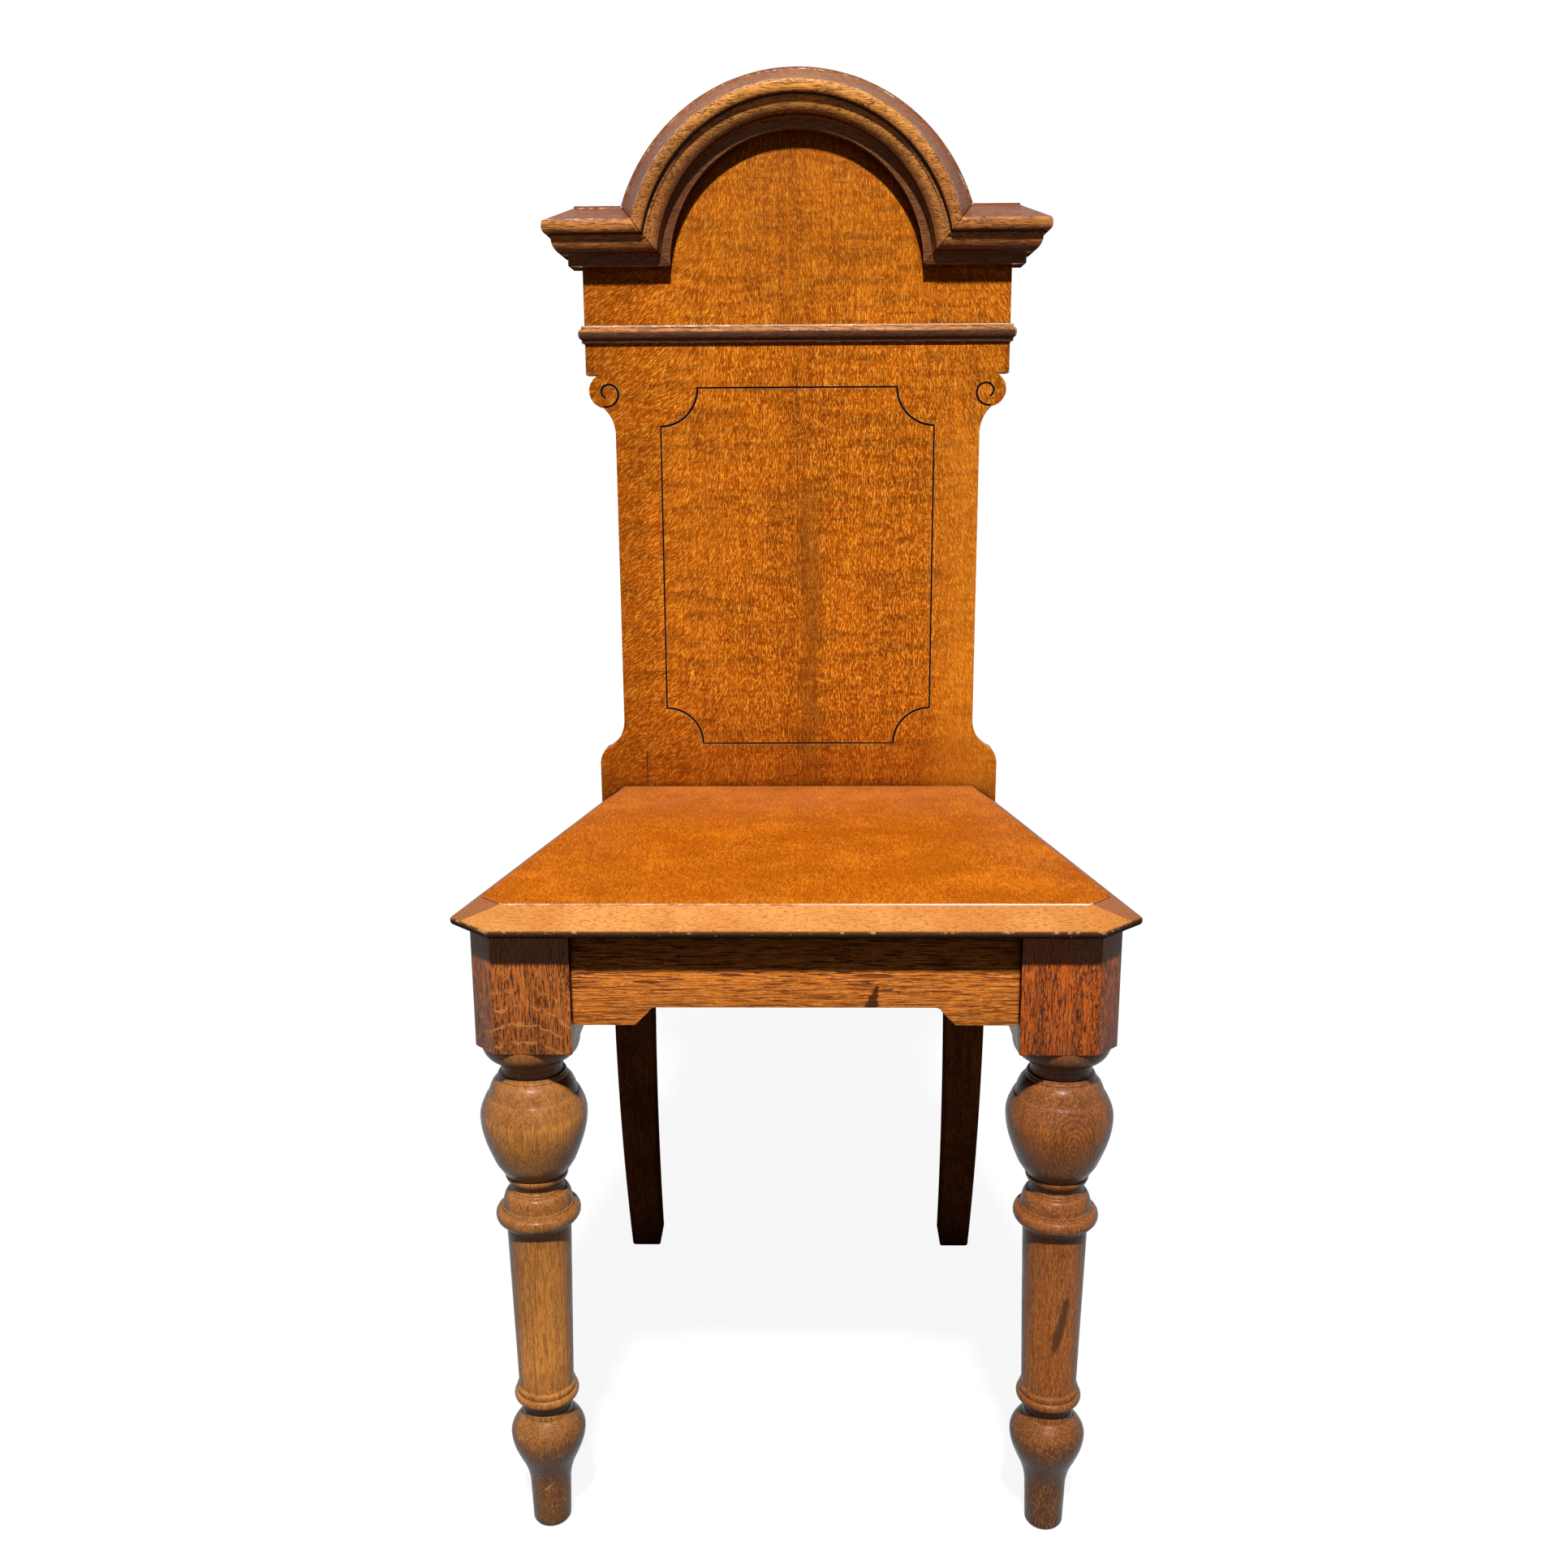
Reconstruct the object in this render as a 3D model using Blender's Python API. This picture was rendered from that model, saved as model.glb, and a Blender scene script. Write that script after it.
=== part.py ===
"""Oak hall chair with an arched back: its construction, in Blender.

Metres, +Z up, the front towards -Y. The origin is on the floor under the middle of the chair.
Left is -X, as seen from the front. Run with: blender --background --python part.py
"""

import math

import bmesh
import bpy

# Clearances and cutting
GAP = 0.0003             # left between two pieces that touch
OVERRUN = 0.003          # how far a cutter starts outside the face that it cuts
SINK = 0.004             # how far two solids reach into each other before they are joined
WELD = 0.000001          # points nearer than this are one point

# Seat, two boards glued at the middle
SEAT_WIDTH = 0.440
SEAT_BACK_WIDTH = 0.332
SEAT_DEPTH = 0.3506      # front edge to the face of the back
SEAT_HEIGHT = 0.469
SEAT_THICKNESS = 0.018
SEAT_OVERHANG = 0.0156   # front edge past the legs' front face
SEAT_CANT = 0.0285
BEVEL_WIDTH = 0.018
BEVEL_FALL = 0.011
BEVEL_STEP = 0.0016      # the flat top stands this much above its bevel
NOSE_RADIUS = 0.0035
NOSE_STEPS = 3

# Front legs: a square block, and the turning below it
LEG_BLOCK = 0.0656
LEG_SIDE_INSET = 0.0114  # seat's side edge past the block's outer face
BLOCK_HEIGHT = 0.083
BLOCK_CANT = 0.0157
BLOCK_SOFT = 0.0015
TURNING_RADIUS = 0.0356
TURNING_SIDES = 24

# Each row of the turning is a form, the height where it ends, and its radius there,
# as shares of the turned length and of the turning's largest radius, from the floor up.
# A hollow leaves upright and flares, a swell ends upright, a shrink leaves upright and turns in,
# a round leaves level and ends upright, a dome leaves upright and ends level.
TURNING_SHARES = (
    ("line", 0.0, 0.330),
    ("line", 0.006, 0.372),
    ("line", 0.080, 0.398),
    ("hollow", 0.146, 0.575),
    ("swell", 0.198, 0.727),
    ("shrink", 0.2365, 0.500),
    ("line", 0.2385, 0.478),
    ("line", 0.248, 0.470),
    ("line", 0.2505, 0.445),
    ("line", 0.268, 0.430),
    ("line", 0.2695, 0.540),
    ("bead", 0.2885, 0.558),
    ("line", 0.290, 0.575),
    ("line", 0.297, 0.570),
    ("line", 0.301, 0.530),
    ("line", 0.631, 0.610),
    ("hollow", 0.641, 0.668),
    ("bead", 0.669, 0.705),
    ("line", 0.6695, 0.682),
    ("line", 0.6735, 0.680),
    ("line", 0.674, 0.655),
    ("dome", 0.7025, 0.530),
    ("line", 0.7045, 0.505),
    ("line", 0.7085, 0.505),
    ("line", 0.7095, 0.485),
    ("line", 0.717, 0.485),
    ("line", 0.718, 0.515),
    ("swell", 0.7355, 0.595),
    ("line", 0.7365, 0.570),
    ("line", 0.739, 0.570),
    ("line", 0.740, 0.605),
    ("line", 0.762, 0.750),
    ("swell", 0.853, 1.0),
    ("shrink", 0.8925, 0.868),
    ("line", 0.8945, 0.836),
    ("line", 0.906, 0.800),
    ("line", 0.926, 0.668),
    ("line", 0.927, 0.650),
    ("line", 0.931, 0.650),
    ("line", 0.932, 0.628),
    ("line", 0.936, 0.625),
    ("line", 0.937, 0.565),
    ("line", 0.950, 0.565),
    ("line", 0.951, 0.590),
    ("line", 0.957, 0.590),
    ("line", 0.958, 0.615),
    ("line", 0.963, 0.615),
    ("line", 0.964, 0.640),
    ("round", 1.0, 0.915),
)
# How far a bead swells past a straight line, as a share of its height
BEAD_SWELL_SHARE = 0.40
CURVE_STEPS = 3

# Front rail, with its cut-away lower edge
RAIL_THICKNESS = 0.022
RAIL_SETBACK = 0.0035    # behind the legs' front face
RAIL_HEIGHT = 0.064
SCOOP_HALF = 0.0885      # half of the cut-away's level part
SCOOP_RISE = 0.0120
SCOOP_SLOPE = 0.0092     # the 45 degree cut at each end
SCOOP_COVE = 0.0050

# Side and back rails
SIDE_RAIL_INSET = 0.0035
SIDE_RAIL_REAR_INSET = 0.003
BACK_RAIL_THICKNESS = 0.020

# Tenons
TENON_THICKNESS = 0.009
TENON_HEIGHT = 0.044
TENON_LENGTH = 0.022
REAR_TENON_LENGTH = 0.014

# Rear legs: raked below the seat, carried up behind the back as uprights
REAR_LEG_AXIS = 0.1475   # from the middle of the chair
REAR_LEG_WIDTH = 0.033
REAR_FOOT_WIDTH = 0.0265
REAR_LEG_DEPTH = 0.036
REAR_LEG_SETBACK = 0.010  # behind the face of the back
RAKE_TOP = 0.245         # height where the rake begins
RAKE_SWEEP = 0.0525      # how far back the foot is
RAKE_POWER = 1.8
FOOT_SOFT = 0.003
RAKE_STEPS = 9
UPRIGHT_WIDTH = 0.025
UPRIGHT_OUTER = 0.143    # its outer edge from the middle of the chair
UPRIGHT_RISE = 0.327     # its top above the seat
UPRIGHT_TOP_DEPTH = 0.016
UPRIGHT_SHOULDER = 0.048  # height of the inner edge's slope above the seat rail
UPRIGHT_COVE_DROP = 0.008  # its cove starts this far below the cove of the back

# Back, two boards glued at the middle
# The rises from here on, but for a ledge's, are heights above the seat
BACK_THICKNESS = 0.020
TONGUE_CLEARANCE = 0.0015
TONGUE_DEPTH = 0.056     # how far the back goes down behind the seat
FOOT_HALF = 0.1675
FOOT_SIDE_HEIGHT = 0.037  # upright side of the foot ear, above the seat's underside
FOOT_ROUND_WIDTH = 0.0075
FOOT_ROUND_HEIGHT = 0.0135
FOOT_NICK = 0.001
WAIST_HALF = 0.1465
COVE_RADIUS = 0.028
FRIEZE_HALF = 0.169
FRIEZE_RISE = 0.3374
CORNICE_RISE = 0.419
SCROLL_RADIUS = 0.0135
SCROLL_INSET = 0.0155    # its centre from the frieze's side
SCROLL_DROP = 0.0124     # its centre below the frieze
NICK_HALF = 0.1558       # where the cove meets the scroll
TOP_SETDOWN = 0.0005     # the back's top edge below the cornice's
ARC_STEPS = 5
SCROLL_STEPS = 8
CROWN_STEPS = 14

# Incised line panel and scrolls
GROOVE_WIDTH = 0.0019
GROOVE_DEPTH = 0.0010
PANEL_HALF = 0.110
PANEL_BOTTOM_RISE = 0.037
PANEL_TOP_RISE = 0.327
PANEL_CORNER = 0.030
SPIRAL_MIDDLE = 0.152    # its centre from the middle of the chair
SPIRAL_RISE = 0.3233
SPIRAL_START_RADIUS = 0.0112
SPIRAL_END_RADIUS = 0.0042
SPIRAL_START = math.radians(-72)
SPIRAL_TURN = math.radians(355)
SPIRAL_STEPS = 18

# Cornice section: how far it stands out from the back, and its height
CORNICE_HEIGHT = 0.045
CORNICE_FILLET = 0.0096
CORNICE_FILLET_HEIGHT = 0.0072
CORNICE_OVOLO_START = 0.0106
CORNICE_OVOLO_TOP = 0.0192
CORNICE_OVOLO = 0.0208
CORNICE_SQUARE = 0.0218
CORNICE_SQUARE_TOP = 0.0219
CORNICE_ROLL_START = 0.0236
CORNICE_ROLL_TOP = 0.0322
CORNICE_ROLL = 0.0269
CORNICE_ROLL_END = 0.0248
CORNICE_LIP = 0.0044
CORNICE_LIP_BOTTOM = 0.0434
ARCH_INNER = 0.099
ARCH_STEPS = 32
SECTION_STEPS = 4
STEP_RISE = 0.0003       # what a level ledge of a section climbs

# String moulding section
STRING_RISE = 0.3616
STRING_HEIGHT = 0.0134
STRING_FILLET = 0.0022
STRING_FILLET_HEIGHT = 0.0026
STRING_BEAD = 0.0046

# Glue blocks under the seat
BLOCK_SIZE = 0.024
BLOCK_LENGTH = 0.060
FRONT_BLOCK_AT = 0.062
BACK_BLOCK_AT = 0.070
SIDE_BLOCK_AT_SHARES = (0.30, 0.72)

# Wood screws
SCREW_HEAD_RADIUS = 0.0045
SCREW_SHANK_RADIUS = 0.0022
SCREW_TIP_RADIUS = 0.0008
SCREW_HEAD_RIM = 0.0006
SCREW_CONE = 0.0030
SCREW_TIP = 0.0040
SCREW_BITE = 0.012       # how far it goes into the back
SCREW_SINK = 0.0004      # its head below the wood
SCREW_SIDES = 12
UPRIGHT_SCREW_RISES = (0.086, 0.191, 0.296)  # above the seat
EAR_SCREW_RISE = 0.007
RAIL_SCREWS_AT = (0.040, 0.104)

# Worked out from the sizes above
SEAT_UNDER = SEAT_HEIGHT - SEAT_THICKNESS
RAIL_TOP = SEAT_UNDER - GAP
RAIL_BOTTOM = SEAT_UNDER - RAIL_HEIGHT
TURNED_LENGTH = SEAT_UNDER - BLOCK_HEIGHT
UPRIGHT_TOP = SEAT_HEIGHT + UPRIGHT_RISE
FRIEZE_BOTTOM = SEAT_HEIGHT + FRIEZE_RISE
STRING_BOTTOM = SEAT_HEIGHT + STRING_RISE
CORNICE_BOTTOM = SEAT_HEIGHT + CORNICE_RISE
PANEL_BOTTOM = SEAT_HEIGHT + PANEL_BOTTOM_RISE
PANEL_TOP = SEAT_HEIGHT + PANEL_TOP_RISE
SPIRAL_HEIGHT = SEAT_HEIGHT + SPIRAL_RISE


def rake(z):
    """How far back the rear leg stands at a height, in a curve that starts plumb."""
    if z >= RAKE_TOP:
        return 0.0
    return RAKE_SWEEP * ((RAKE_TOP - z) / RAKE_TOP) ** RAKE_POWER


REAR_REACH = REAR_LEG_SETBACK + rake(FOOT_SOFT) + REAR_LEG_DEPTH
CHAIR_DEPTH = SEAT_DEPTH + REAR_REACH
SEAT_FRONT = -CHAIR_DEPTH / 2
LEG_FRONT = SEAT_FRONT + SEAT_OVERHANG
LEG_BACK = LEG_FRONT + LEG_BLOCK
BLOCK_OUTER = SEAT_WIDTH / 2 - LEG_SIDE_INSET
BLOCK_INNER = BLOCK_OUTER - LEG_BLOCK
LEG_AXIS_X = BLOCK_OUTER - LEG_BLOCK / 2
LEG_AXIS_Y = LEG_FRONT + LEG_BLOCK / 2
BACK_FACE = SEAT_FRONT + SEAT_DEPTH
BACK_REAR = BACK_FACE + BACK_THICKNESS
REAR_LEG_FRONT = BACK_FACE + REAR_LEG_SETBACK
REAR_LEG_REAR = REAR_LEG_FRONT + REAR_LEG_DEPTH
REAR_LEG_INNER = REAR_LEG_AXIS - REAR_LEG_WIDTH / 2
REAR_LEG_OUTER = REAR_LEG_AXIS + REAR_LEG_WIDTH / 2
TONGUE_HALF = REAR_LEG_INNER - TONGUE_CLEARANCE
BACK_RAIL_FRONT = BACK_REAR + GAP
ARCH_OUTER = ARCH_INNER + CORNICE_HEIGHT


def clear_scene():
    for thing in list(bpy.data.objects):
        bpy.data.objects.remove(thing, do_unlink=True)


def finish(name, colour, roughness, metallic):
    material = bpy.data.materials.new(name)
    material.use_nodes = True
    shader = material.node_tree.nodes["Principled BSDF"]
    shader.inputs["Base Color"].default_value = (*colour, 1.0)
    shader.inputs["Roughness"].default_value = roughness
    shader.inputs["Metallic"].default_value = metallic
    return material


def seat_oak(name):
    return finish(name, (0.50, 0.22, 0.07), 0.35, 0.0)


def back_oak(name):
    return finish(name, (0.46, 0.20, 0.06), 0.40, 0.0)


def moulding_oak(name):
    return finish(name, (0.34, 0.13, 0.04), 0.38, 0.0)


def leg_oak(name):
    return finish(name, (0.42, 0.18, 0.06), 0.42, 0.0)


def rear_oak(name):
    return finish(name, (0.16, 0.08, 0.035), 0.55, 0.0)


def block_pine(name):
    return finish(name, (0.40, 0.24, 0.11), 0.70, 0.0)


def screw_steel(name):
    return finish(name, (0.30, 0.28, 0.25), 0.45, 1.0)


def add_object(name, bm, material):
    """Turn a bmesh into an object of the scene, with all its faces pointing out."""
    bmesh.ops.remove_doubles(bm, verts=bm.verts[:], dist=WELD)
    bmesh.ops.recalc_face_normals(bm, faces=bm.faces[:])
    mesh = bpy.data.meshes.new(name)
    bm.to_mesh(mesh)
    bm.free()
    mesh.materials.append(material)
    thing = bpy.data.objects.new(name, mesh)
    bpy.context.scene.collection.objects.link(thing)
    return thing


def loft(name, rings, material):
    """A solid through rings of as many points each, capped at both ends."""
    bm = bmesh.new()
    loops = [[bm.verts.new(point) for point in ring] for ring in rings]
    for lower, upper in zip(loops, loops[1:]):
        for this in range(len(lower)):
            after = (this + 1) % len(lower)
            bm.faces.new((lower[this], lower[after], upper[after], upper[this]))
    bm.faces.new(loops[0])
    bm.faces.new(loops[-1])
    return add_object(name, bm, material)


def plate(name, outline, front, rear, material):
    """An upright board: an outline of (x, z) points between two depths."""
    rings = [[(x, y, z) for x, z in outline] for y in (front, rear)]
    return loft(name, rings, material)


def prism(name, outline, bottom, top, material):
    """A level board: an outline of (x, y) points between two heights."""
    rings = [[(x, y, z) for x, y in outline] for z in (bottom, top)]
    return loft(name, rings, material)


def box(name, low, high, material):
    outline = ((low[0], low[1]), (high[0], low[1]), (high[0], high[1]), (low[0], high[1]))
    return prism(name, outline, low[2], high[2], material)


def cutter(name, make, *sizes):
    """A helper solid that only a Boolean reads."""
    thing = make(name, *sizes, finish(name, (0.5, 0.5, 0.5), 0.5, 0.0))
    thing.hide_render = True
    thing.display_type = "WIRE"
    return thing


def combine(thing, helper, operation):
    modifier = thing.modifiers.new(helper.name, "BOOLEAN")
    modifier.operation = operation
    modifier.solver = "EXACT"
    modifier.object = helper


def arc(centre, radii, start, end, steps):
    """Points along an elliptical arc, both ends included, angles in radians."""
    points = []
    for step in range(steps + 1):
        angle = start + (end - start) * step / steps
        points.append((centre[0] + radii[0] * math.cos(angle), centre[1] + radii[1] * math.sin(angle)))
    return points


def mirrored(points, side):
    return [(side * point[0], *point[1:]) for point in points]


def side_name(side):
    return "left" if side < 0 else "right"


# Seat


def seat_edge(inset):
    """The right half of the seat's outline, set in from the front, cant and side edges."""
    half = SEAT_WIDTH / 2
    back_half = SEAT_BACK_WIDTH / 2
    rear = BACK_FACE - GAP
    cant_end = SEAT_FRONT + SEAT_CANT
    run = BACK_FACE - cant_end
    slope = (half - back_half) / run
    side_inset = inset * math.hypot(1.0, slope)
    corner_sum = half - SEAT_CANT - SEAT_FRONT - inset * math.sqrt(2)
    front = SEAT_FRONT + inset
    cant_x = (half - side_inset + slope * (cant_end + corner_sum)) / (1.0 + slope)
    return (
        (GAP / 2, front),
        (corner_sum + front, front),
        (cant_x, cant_x - corner_sum),
        (half - side_inset - slope * (rear - cant_end), rear),
        (GAP / 2, rear),
    )


def make_seat_board(side):
    """Nose, bevel, step and flat top, as rings from the underside up."""
    nose_top = SEAT_THICKNESS - BEVEL_STEP - BEVEL_FALL
    levels = []
    for step in range(NOSE_STEPS + 1):
        angle = math.pi / 2 * step / NOSE_STEPS
        levels.append((NOSE_RADIUS * (1 - math.sin(angle)), NOSE_RADIUS * (1 - math.cos(angle))))
    levels.append((0.0, nose_top))
    levels.append((BEVEL_WIDTH, nose_top + BEVEL_FALL))
    levels.append((BEVEL_WIDTH + GAP, SEAT_THICKNESS))
    rings = []
    for inset, rise in levels:
        rings.append([(side * x, y, SEAT_UNDER + rise) for x, y in seat_edge(inset)])
    name = "seat_board_" + side_name(side)
    return loft(name, rings, seat_oak(name))


# Front legs


def form_point(form, share):
    """How much of its height and of its change of radius a form has made at a share of its course."""
    turn = math.pi / 2 * share
    if form == "swell":
        return share, math.sin(turn)
    if form == "shrink":
        return share, 1 - math.cos(turn)
    if form == "round":
        return 1 - math.cos(turn), math.sin(turn)
    if form == "dome":
        return math.sin(turn), 1 - math.cos(turn)
    if form == "hollow":
        return share, share ** 2
    return (1 - math.cos(2 * turn)) / 2, share


def turned_outline():
    """The turning's (radius, height) points, from the floor to the block."""
    points = []
    radius = 0.0
    height = 0.0
    for form, height_share, radius_share in TURNING_SHARES:
        rise = height_share * TURNED_LENGTH - height
        change = radius_share * TURNING_RADIUS - radius
        if form == "line":
            points.append((radius + change, height + rise))
        else:
            for step in range(1, CURVE_STEPS + 1):
                share = step / CURVE_STEPS
                along, out = form_point(form, share)
                swell = BEAD_SWELL_SHARE * rise * math.sin(math.pi * share) if form == "bead" else 0.0
                points.append((radius + change * out + swell, height + rise * along))
        radius += change
        height += rise
    points.append((radius, height + SINK))
    return points


def make_turning(name, axis_x, axis_y, outline, material):
    rings = []
    for radius, z in outline:
        ring = []
        for side in range(TURNING_SIDES):
            angle = math.tau * side / TURNING_SIDES
            ring.append((axis_x + radius * math.cos(angle), axis_y + radius * math.sin(angle), z))
        rings.append(ring)
    return loft(name, rings, material)


def block_outline(side, inset):
    """The leg block in plan, with its outer front corner canted."""
    inner = BLOCK_INNER + inset
    outer = BLOCK_OUTER - inset
    front = LEG_FRONT + inset
    rear = LEG_BACK - inset
    return mirrored(
        (
            (inner, front),
            (outer - BLOCK_CANT, front),
            (outer, front + BLOCK_CANT),
            (outer, rear),
            (inner, rear),
        ),
        side,
    )


def make_front_leg(side):
    bottom = SEAT_UNDER - BLOCK_HEIGHT
    levels = ((BLOCK_SOFT, bottom), (0.0, bottom + BLOCK_SOFT), (0.0, RAIL_TOP))
    rings = []
    for inset, z in levels:
        rings.append([(x, y, z) for x, y in block_outline(side, inset)])
    name = "front_leg_" + side_name(side)
    leg = loft(name, rings, leg_oak(name))
    turning = cutter(
        "turning_" + side_name(side), make_turning, side * LEG_AXIS_X, LEG_AXIS_Y, turned_outline()
    )
    combine(leg, turning, "UNION")
    return leg


# Rails


def tenon_heights(clearance):
    middle = (RAIL_TOP + RAIL_BOTTOM) / 2
    half = TENON_HEIGHT / 2 + clearance
    return middle - half, middle + half


def make_front_tenon(name, clearance, material):
    """One bar through the front rail, whose ends are its two tenons."""
    reach = BLOCK_INNER + TENON_LENGTH + clearance
    middle = LEG_FRONT + RAIL_SETBACK + RAIL_THICKNESS / 2
    half = TENON_THICKNESS / 2 + clearance
    bottom, top = tenon_heights(clearance)
    return box(name, (-reach, middle - half, bottom), (reach, middle + half, top), material)


def front_rail_outline():
    end = BLOCK_INNER - GAP
    level = RAIL_BOTTOM + SCOOP_RISE
    shoulder = SCOOP_HALF + SCOOP_COVE + SCOOP_SLOPE
    right = [(end, RAIL_TOP), (end, RAIL_BOTTOM), (shoulder, RAIL_BOTTOM)]
    right.append((shoulder - SCOOP_SLOPE, RAIL_BOTTOM + SCOOP_SLOPE))
    rest = SCOOP_RISE - SCOOP_SLOPE
    cove = arc((SCOOP_HALF, level - rest), (SCOOP_COVE, rest), 0.0, math.pi / 2, ARC_STEPS)
    right.extend(cove[1:])
    left = [(-x, z) for x, z in reversed(right)]
    return right + left


def make_front_rail():
    front = LEG_FRONT + RAIL_SETBACK
    rail = plate("front_rail", front_rail_outline(), front, front + RAIL_THICKNESS, leg_oak("front_rail"))
    combine(rail, cutter("front_tenon", make_front_tenon, 0.0), "UNION")
    return rail


def side_rail_lines():
    """The outer face's two ends in plan, and the direction from front to back."""
    front = (BLOCK_OUTER - SIDE_RAIL_INSET, LEG_BACK)
    rear = (REAR_LEG_OUTER - SIDE_RAIL_REAR_INSET, REAR_LEG_FRONT)
    length = math.hypot(rear[0] - front[0], rear[1] - front[1])
    along = ((rear[0] - front[0]) / length, (rear[1] - front[1]) / length)
    return front, rear, along


def side_rail_point(y, inward):
    """Where a line parallel to the outer face, this far inward, crosses a depth."""
    front, rear, along = side_rail_lines()
    x = front[0] + along[0] / along[1] * (y - front[1])
    return (x - inward / along[1], y)


def make_side_tenon(name, side, clearance, material):
    """One bar along the side rail, whose ends are its two tenons."""
    front, rear, along = side_rail_lines()
    middle = RAIL_THICKNESS / 2
    half = TENON_THICKNESS / 2 + clearance
    across = (along[1], -along[0])
    start = side_rail_point(LEG_BACK, middle)
    end = side_rail_point(REAR_LEG_FRONT, middle)
    front_reach = TENON_LENGTH + clearance
    rear_reach = REAR_TENON_LENGTH + clearance
    start = (start[0] - along[0] * front_reach, start[1] - along[1] * front_reach)
    end = (end[0] + along[0] * rear_reach, end[1] + along[1] * rear_reach)
    outline = []
    for point, out in ((start, half), (end, half), (end, -half), (start, -half)):
        outline.append((point[0] + across[0] * out, point[1] + across[1] * out))
    bottom, top = tenon_heights(clearance)
    return prism(name, mirrored(outline, side), bottom, top, material)


def make_side_rail(side):
    front = LEG_BACK + GAP
    rear = REAR_LEG_FRONT - GAP
    outline = (
        side_rail_point(front, 0.0),
        side_rail_point(rear, 0.0),
        side_rail_point(rear, RAIL_THICKNESS),
        side_rail_point(front, RAIL_THICKNESS),
    )
    name = "side_rail_" + side_name(side)
    rail = prism(name, mirrored(outline, side), RAIL_BOTTOM, RAIL_TOP, rear_oak(name))
    combine(rail, cutter("side_tenon_" + side_name(side), make_side_tenon, side, 0.0), "UNION")
    return rail


def make_back_tenon(name, clearance, material):
    reach = REAR_LEG_INNER + REAR_TENON_LENGTH + clearance
    middle = BACK_RAIL_FRONT + BACK_RAIL_THICKNESS / 2
    half = TENON_THICKNESS / 2 + clearance
    bottom, top = tenon_heights(clearance)
    return box(name, (-reach, middle - half, bottom), (reach, middle + half, top), material)


def make_back_rail():
    end = REAR_LEG_INNER - GAP
    rear = BACK_RAIL_FRONT + BACK_RAIL_THICKNESS
    low = (-end, BACK_RAIL_FRONT, RAIL_BOTTOM)
    rail = box("back_rail", low, (end, rear, RAIL_TOP), rear_oak("back_rail"))
    combine(rail, cutter("back_tenon", make_back_tenon, 0.0), "UNION")
    return rail


# Rear legs


def foot_cove():
    """Centre of the cove from waist to foot ear, and the angle where it ends."""
    nick_x = FOOT_HALF - FOOT_ROUND_WIDTH - FOOT_NICK
    nick_z = SEAT_UNDER + FOOT_SIDE_HEIGHT + FOOT_ROUND_HEIGHT + FOOT_NICK
    centre_x = WAIST_HALF + COVE_RADIUS
    swing = math.acos((centre_x - nick_x) / COVE_RADIUS)
    return (centre_x, nick_z + COVE_RADIUS * math.sin(swing)), swing


def upright_depth(z):
    share = (z - RAIL_TOP) / (UPRIGHT_TOP - RAIL_TOP)
    start = REAR_LEG_REAR - BACK_REAR - GAP
    return start + (UPRIGHT_TOP_DEPTH - start) * share


def rear_leg_levels():
    """Rows of inner x, outer x, front y, rear y and z, from the floor up."""
    rows = []

    def below_seat(z, inset):
        share = min(z / RAKE_TOP, 1.0)
        half = (REAR_FOOT_WIDTH + (REAR_LEG_WIDTH - REAR_FOOT_WIDTH) * share) / 2 - inset
        front = REAR_LEG_FRONT + rake(z)
        rows.append(
            (REAR_LEG_AXIS - half, REAR_LEG_AXIS + half, front + inset, front + REAR_LEG_DEPTH - inset, z)
        )

    below_seat(0.0, FOOT_SOFT)
    for step in range(RAKE_STEPS + 1):
        below_seat(FOOT_SOFT + (RAKE_TOP - FOOT_SOFT) * step / RAKE_STEPS, 0.0)
    below_seat(RAIL_TOP, 0.0)

    cove_centre, swing = foot_cove()
    cove_x = UPRIGHT_OUTER + COVE_RADIUS
    cove_top = cove_centre[1] - UPRIGHT_COVE_DROP
    cove_swing = math.acos((cove_x - REAR_LEG_OUTER) / COVE_RADIUS)
    shoulder_top = RAIL_TOP + UPRIGHT_SHOULDER
    upright_inner = UPRIGHT_OUTER - UPRIGHT_WIDTH

    def above_seat(z):
        share = min((z - RAIL_TOP) / (shoulder_top - RAIL_TOP), 1.0)
        inner = REAR_LEG_INNER + (upright_inner - REAR_LEG_INNER) * share
        drop = min(max(cove_top - z, 0.0), COVE_RADIUS * math.sin(cove_swing))
        outer = cove_x - math.sqrt(COVE_RADIUS ** 2 - drop ** 2)
        rear = BACK_REAR + GAP + upright_depth(z)
        rows.append((inner, outer, REAR_LEG_FRONT, rear, z))

    heights = [shoulder_top, UPRIGHT_TOP]
    for step in range(ARC_STEPS + 1):
        heights.append(cove_top - COVE_RADIUS * math.sin(cove_swing * step / ARC_STEPS))
    for z in sorted(heights):
        above_seat(z)
    return rows


def make_rebate(name, side, material):
    """What is cut from the front of the upright, so that the back stands on the leg's shoulder."""
    front = REAR_LEG_FRONT - OVERRUN
    rear = BACK_REAR + GAP
    outline = ((0.0, front), (SEAT_WIDTH / 2, front), (SEAT_WIDTH / 2, rear), (0.0, rear))
    return prism(name, mirrored(outline, side), RAIL_TOP, UPRIGHT_TOP + OVERRUN, material)


def make_rear_leg(side):
    rings = []
    for inner, outer, front, rear, z in rear_leg_levels():
        ring = ((inner, front, z), (outer, front, z), (outer, rear, z), (inner, rear, z))
        rings.append(mirrored(ring, side))
    name = "rear_leg_" + side_name(side)
    leg = loft(name, rings, rear_oak(name))
    combine(leg, cutter("rebate_" + side_name(side), make_rebate, side), "DIFFERENCE")
    return leg


# Back


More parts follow.
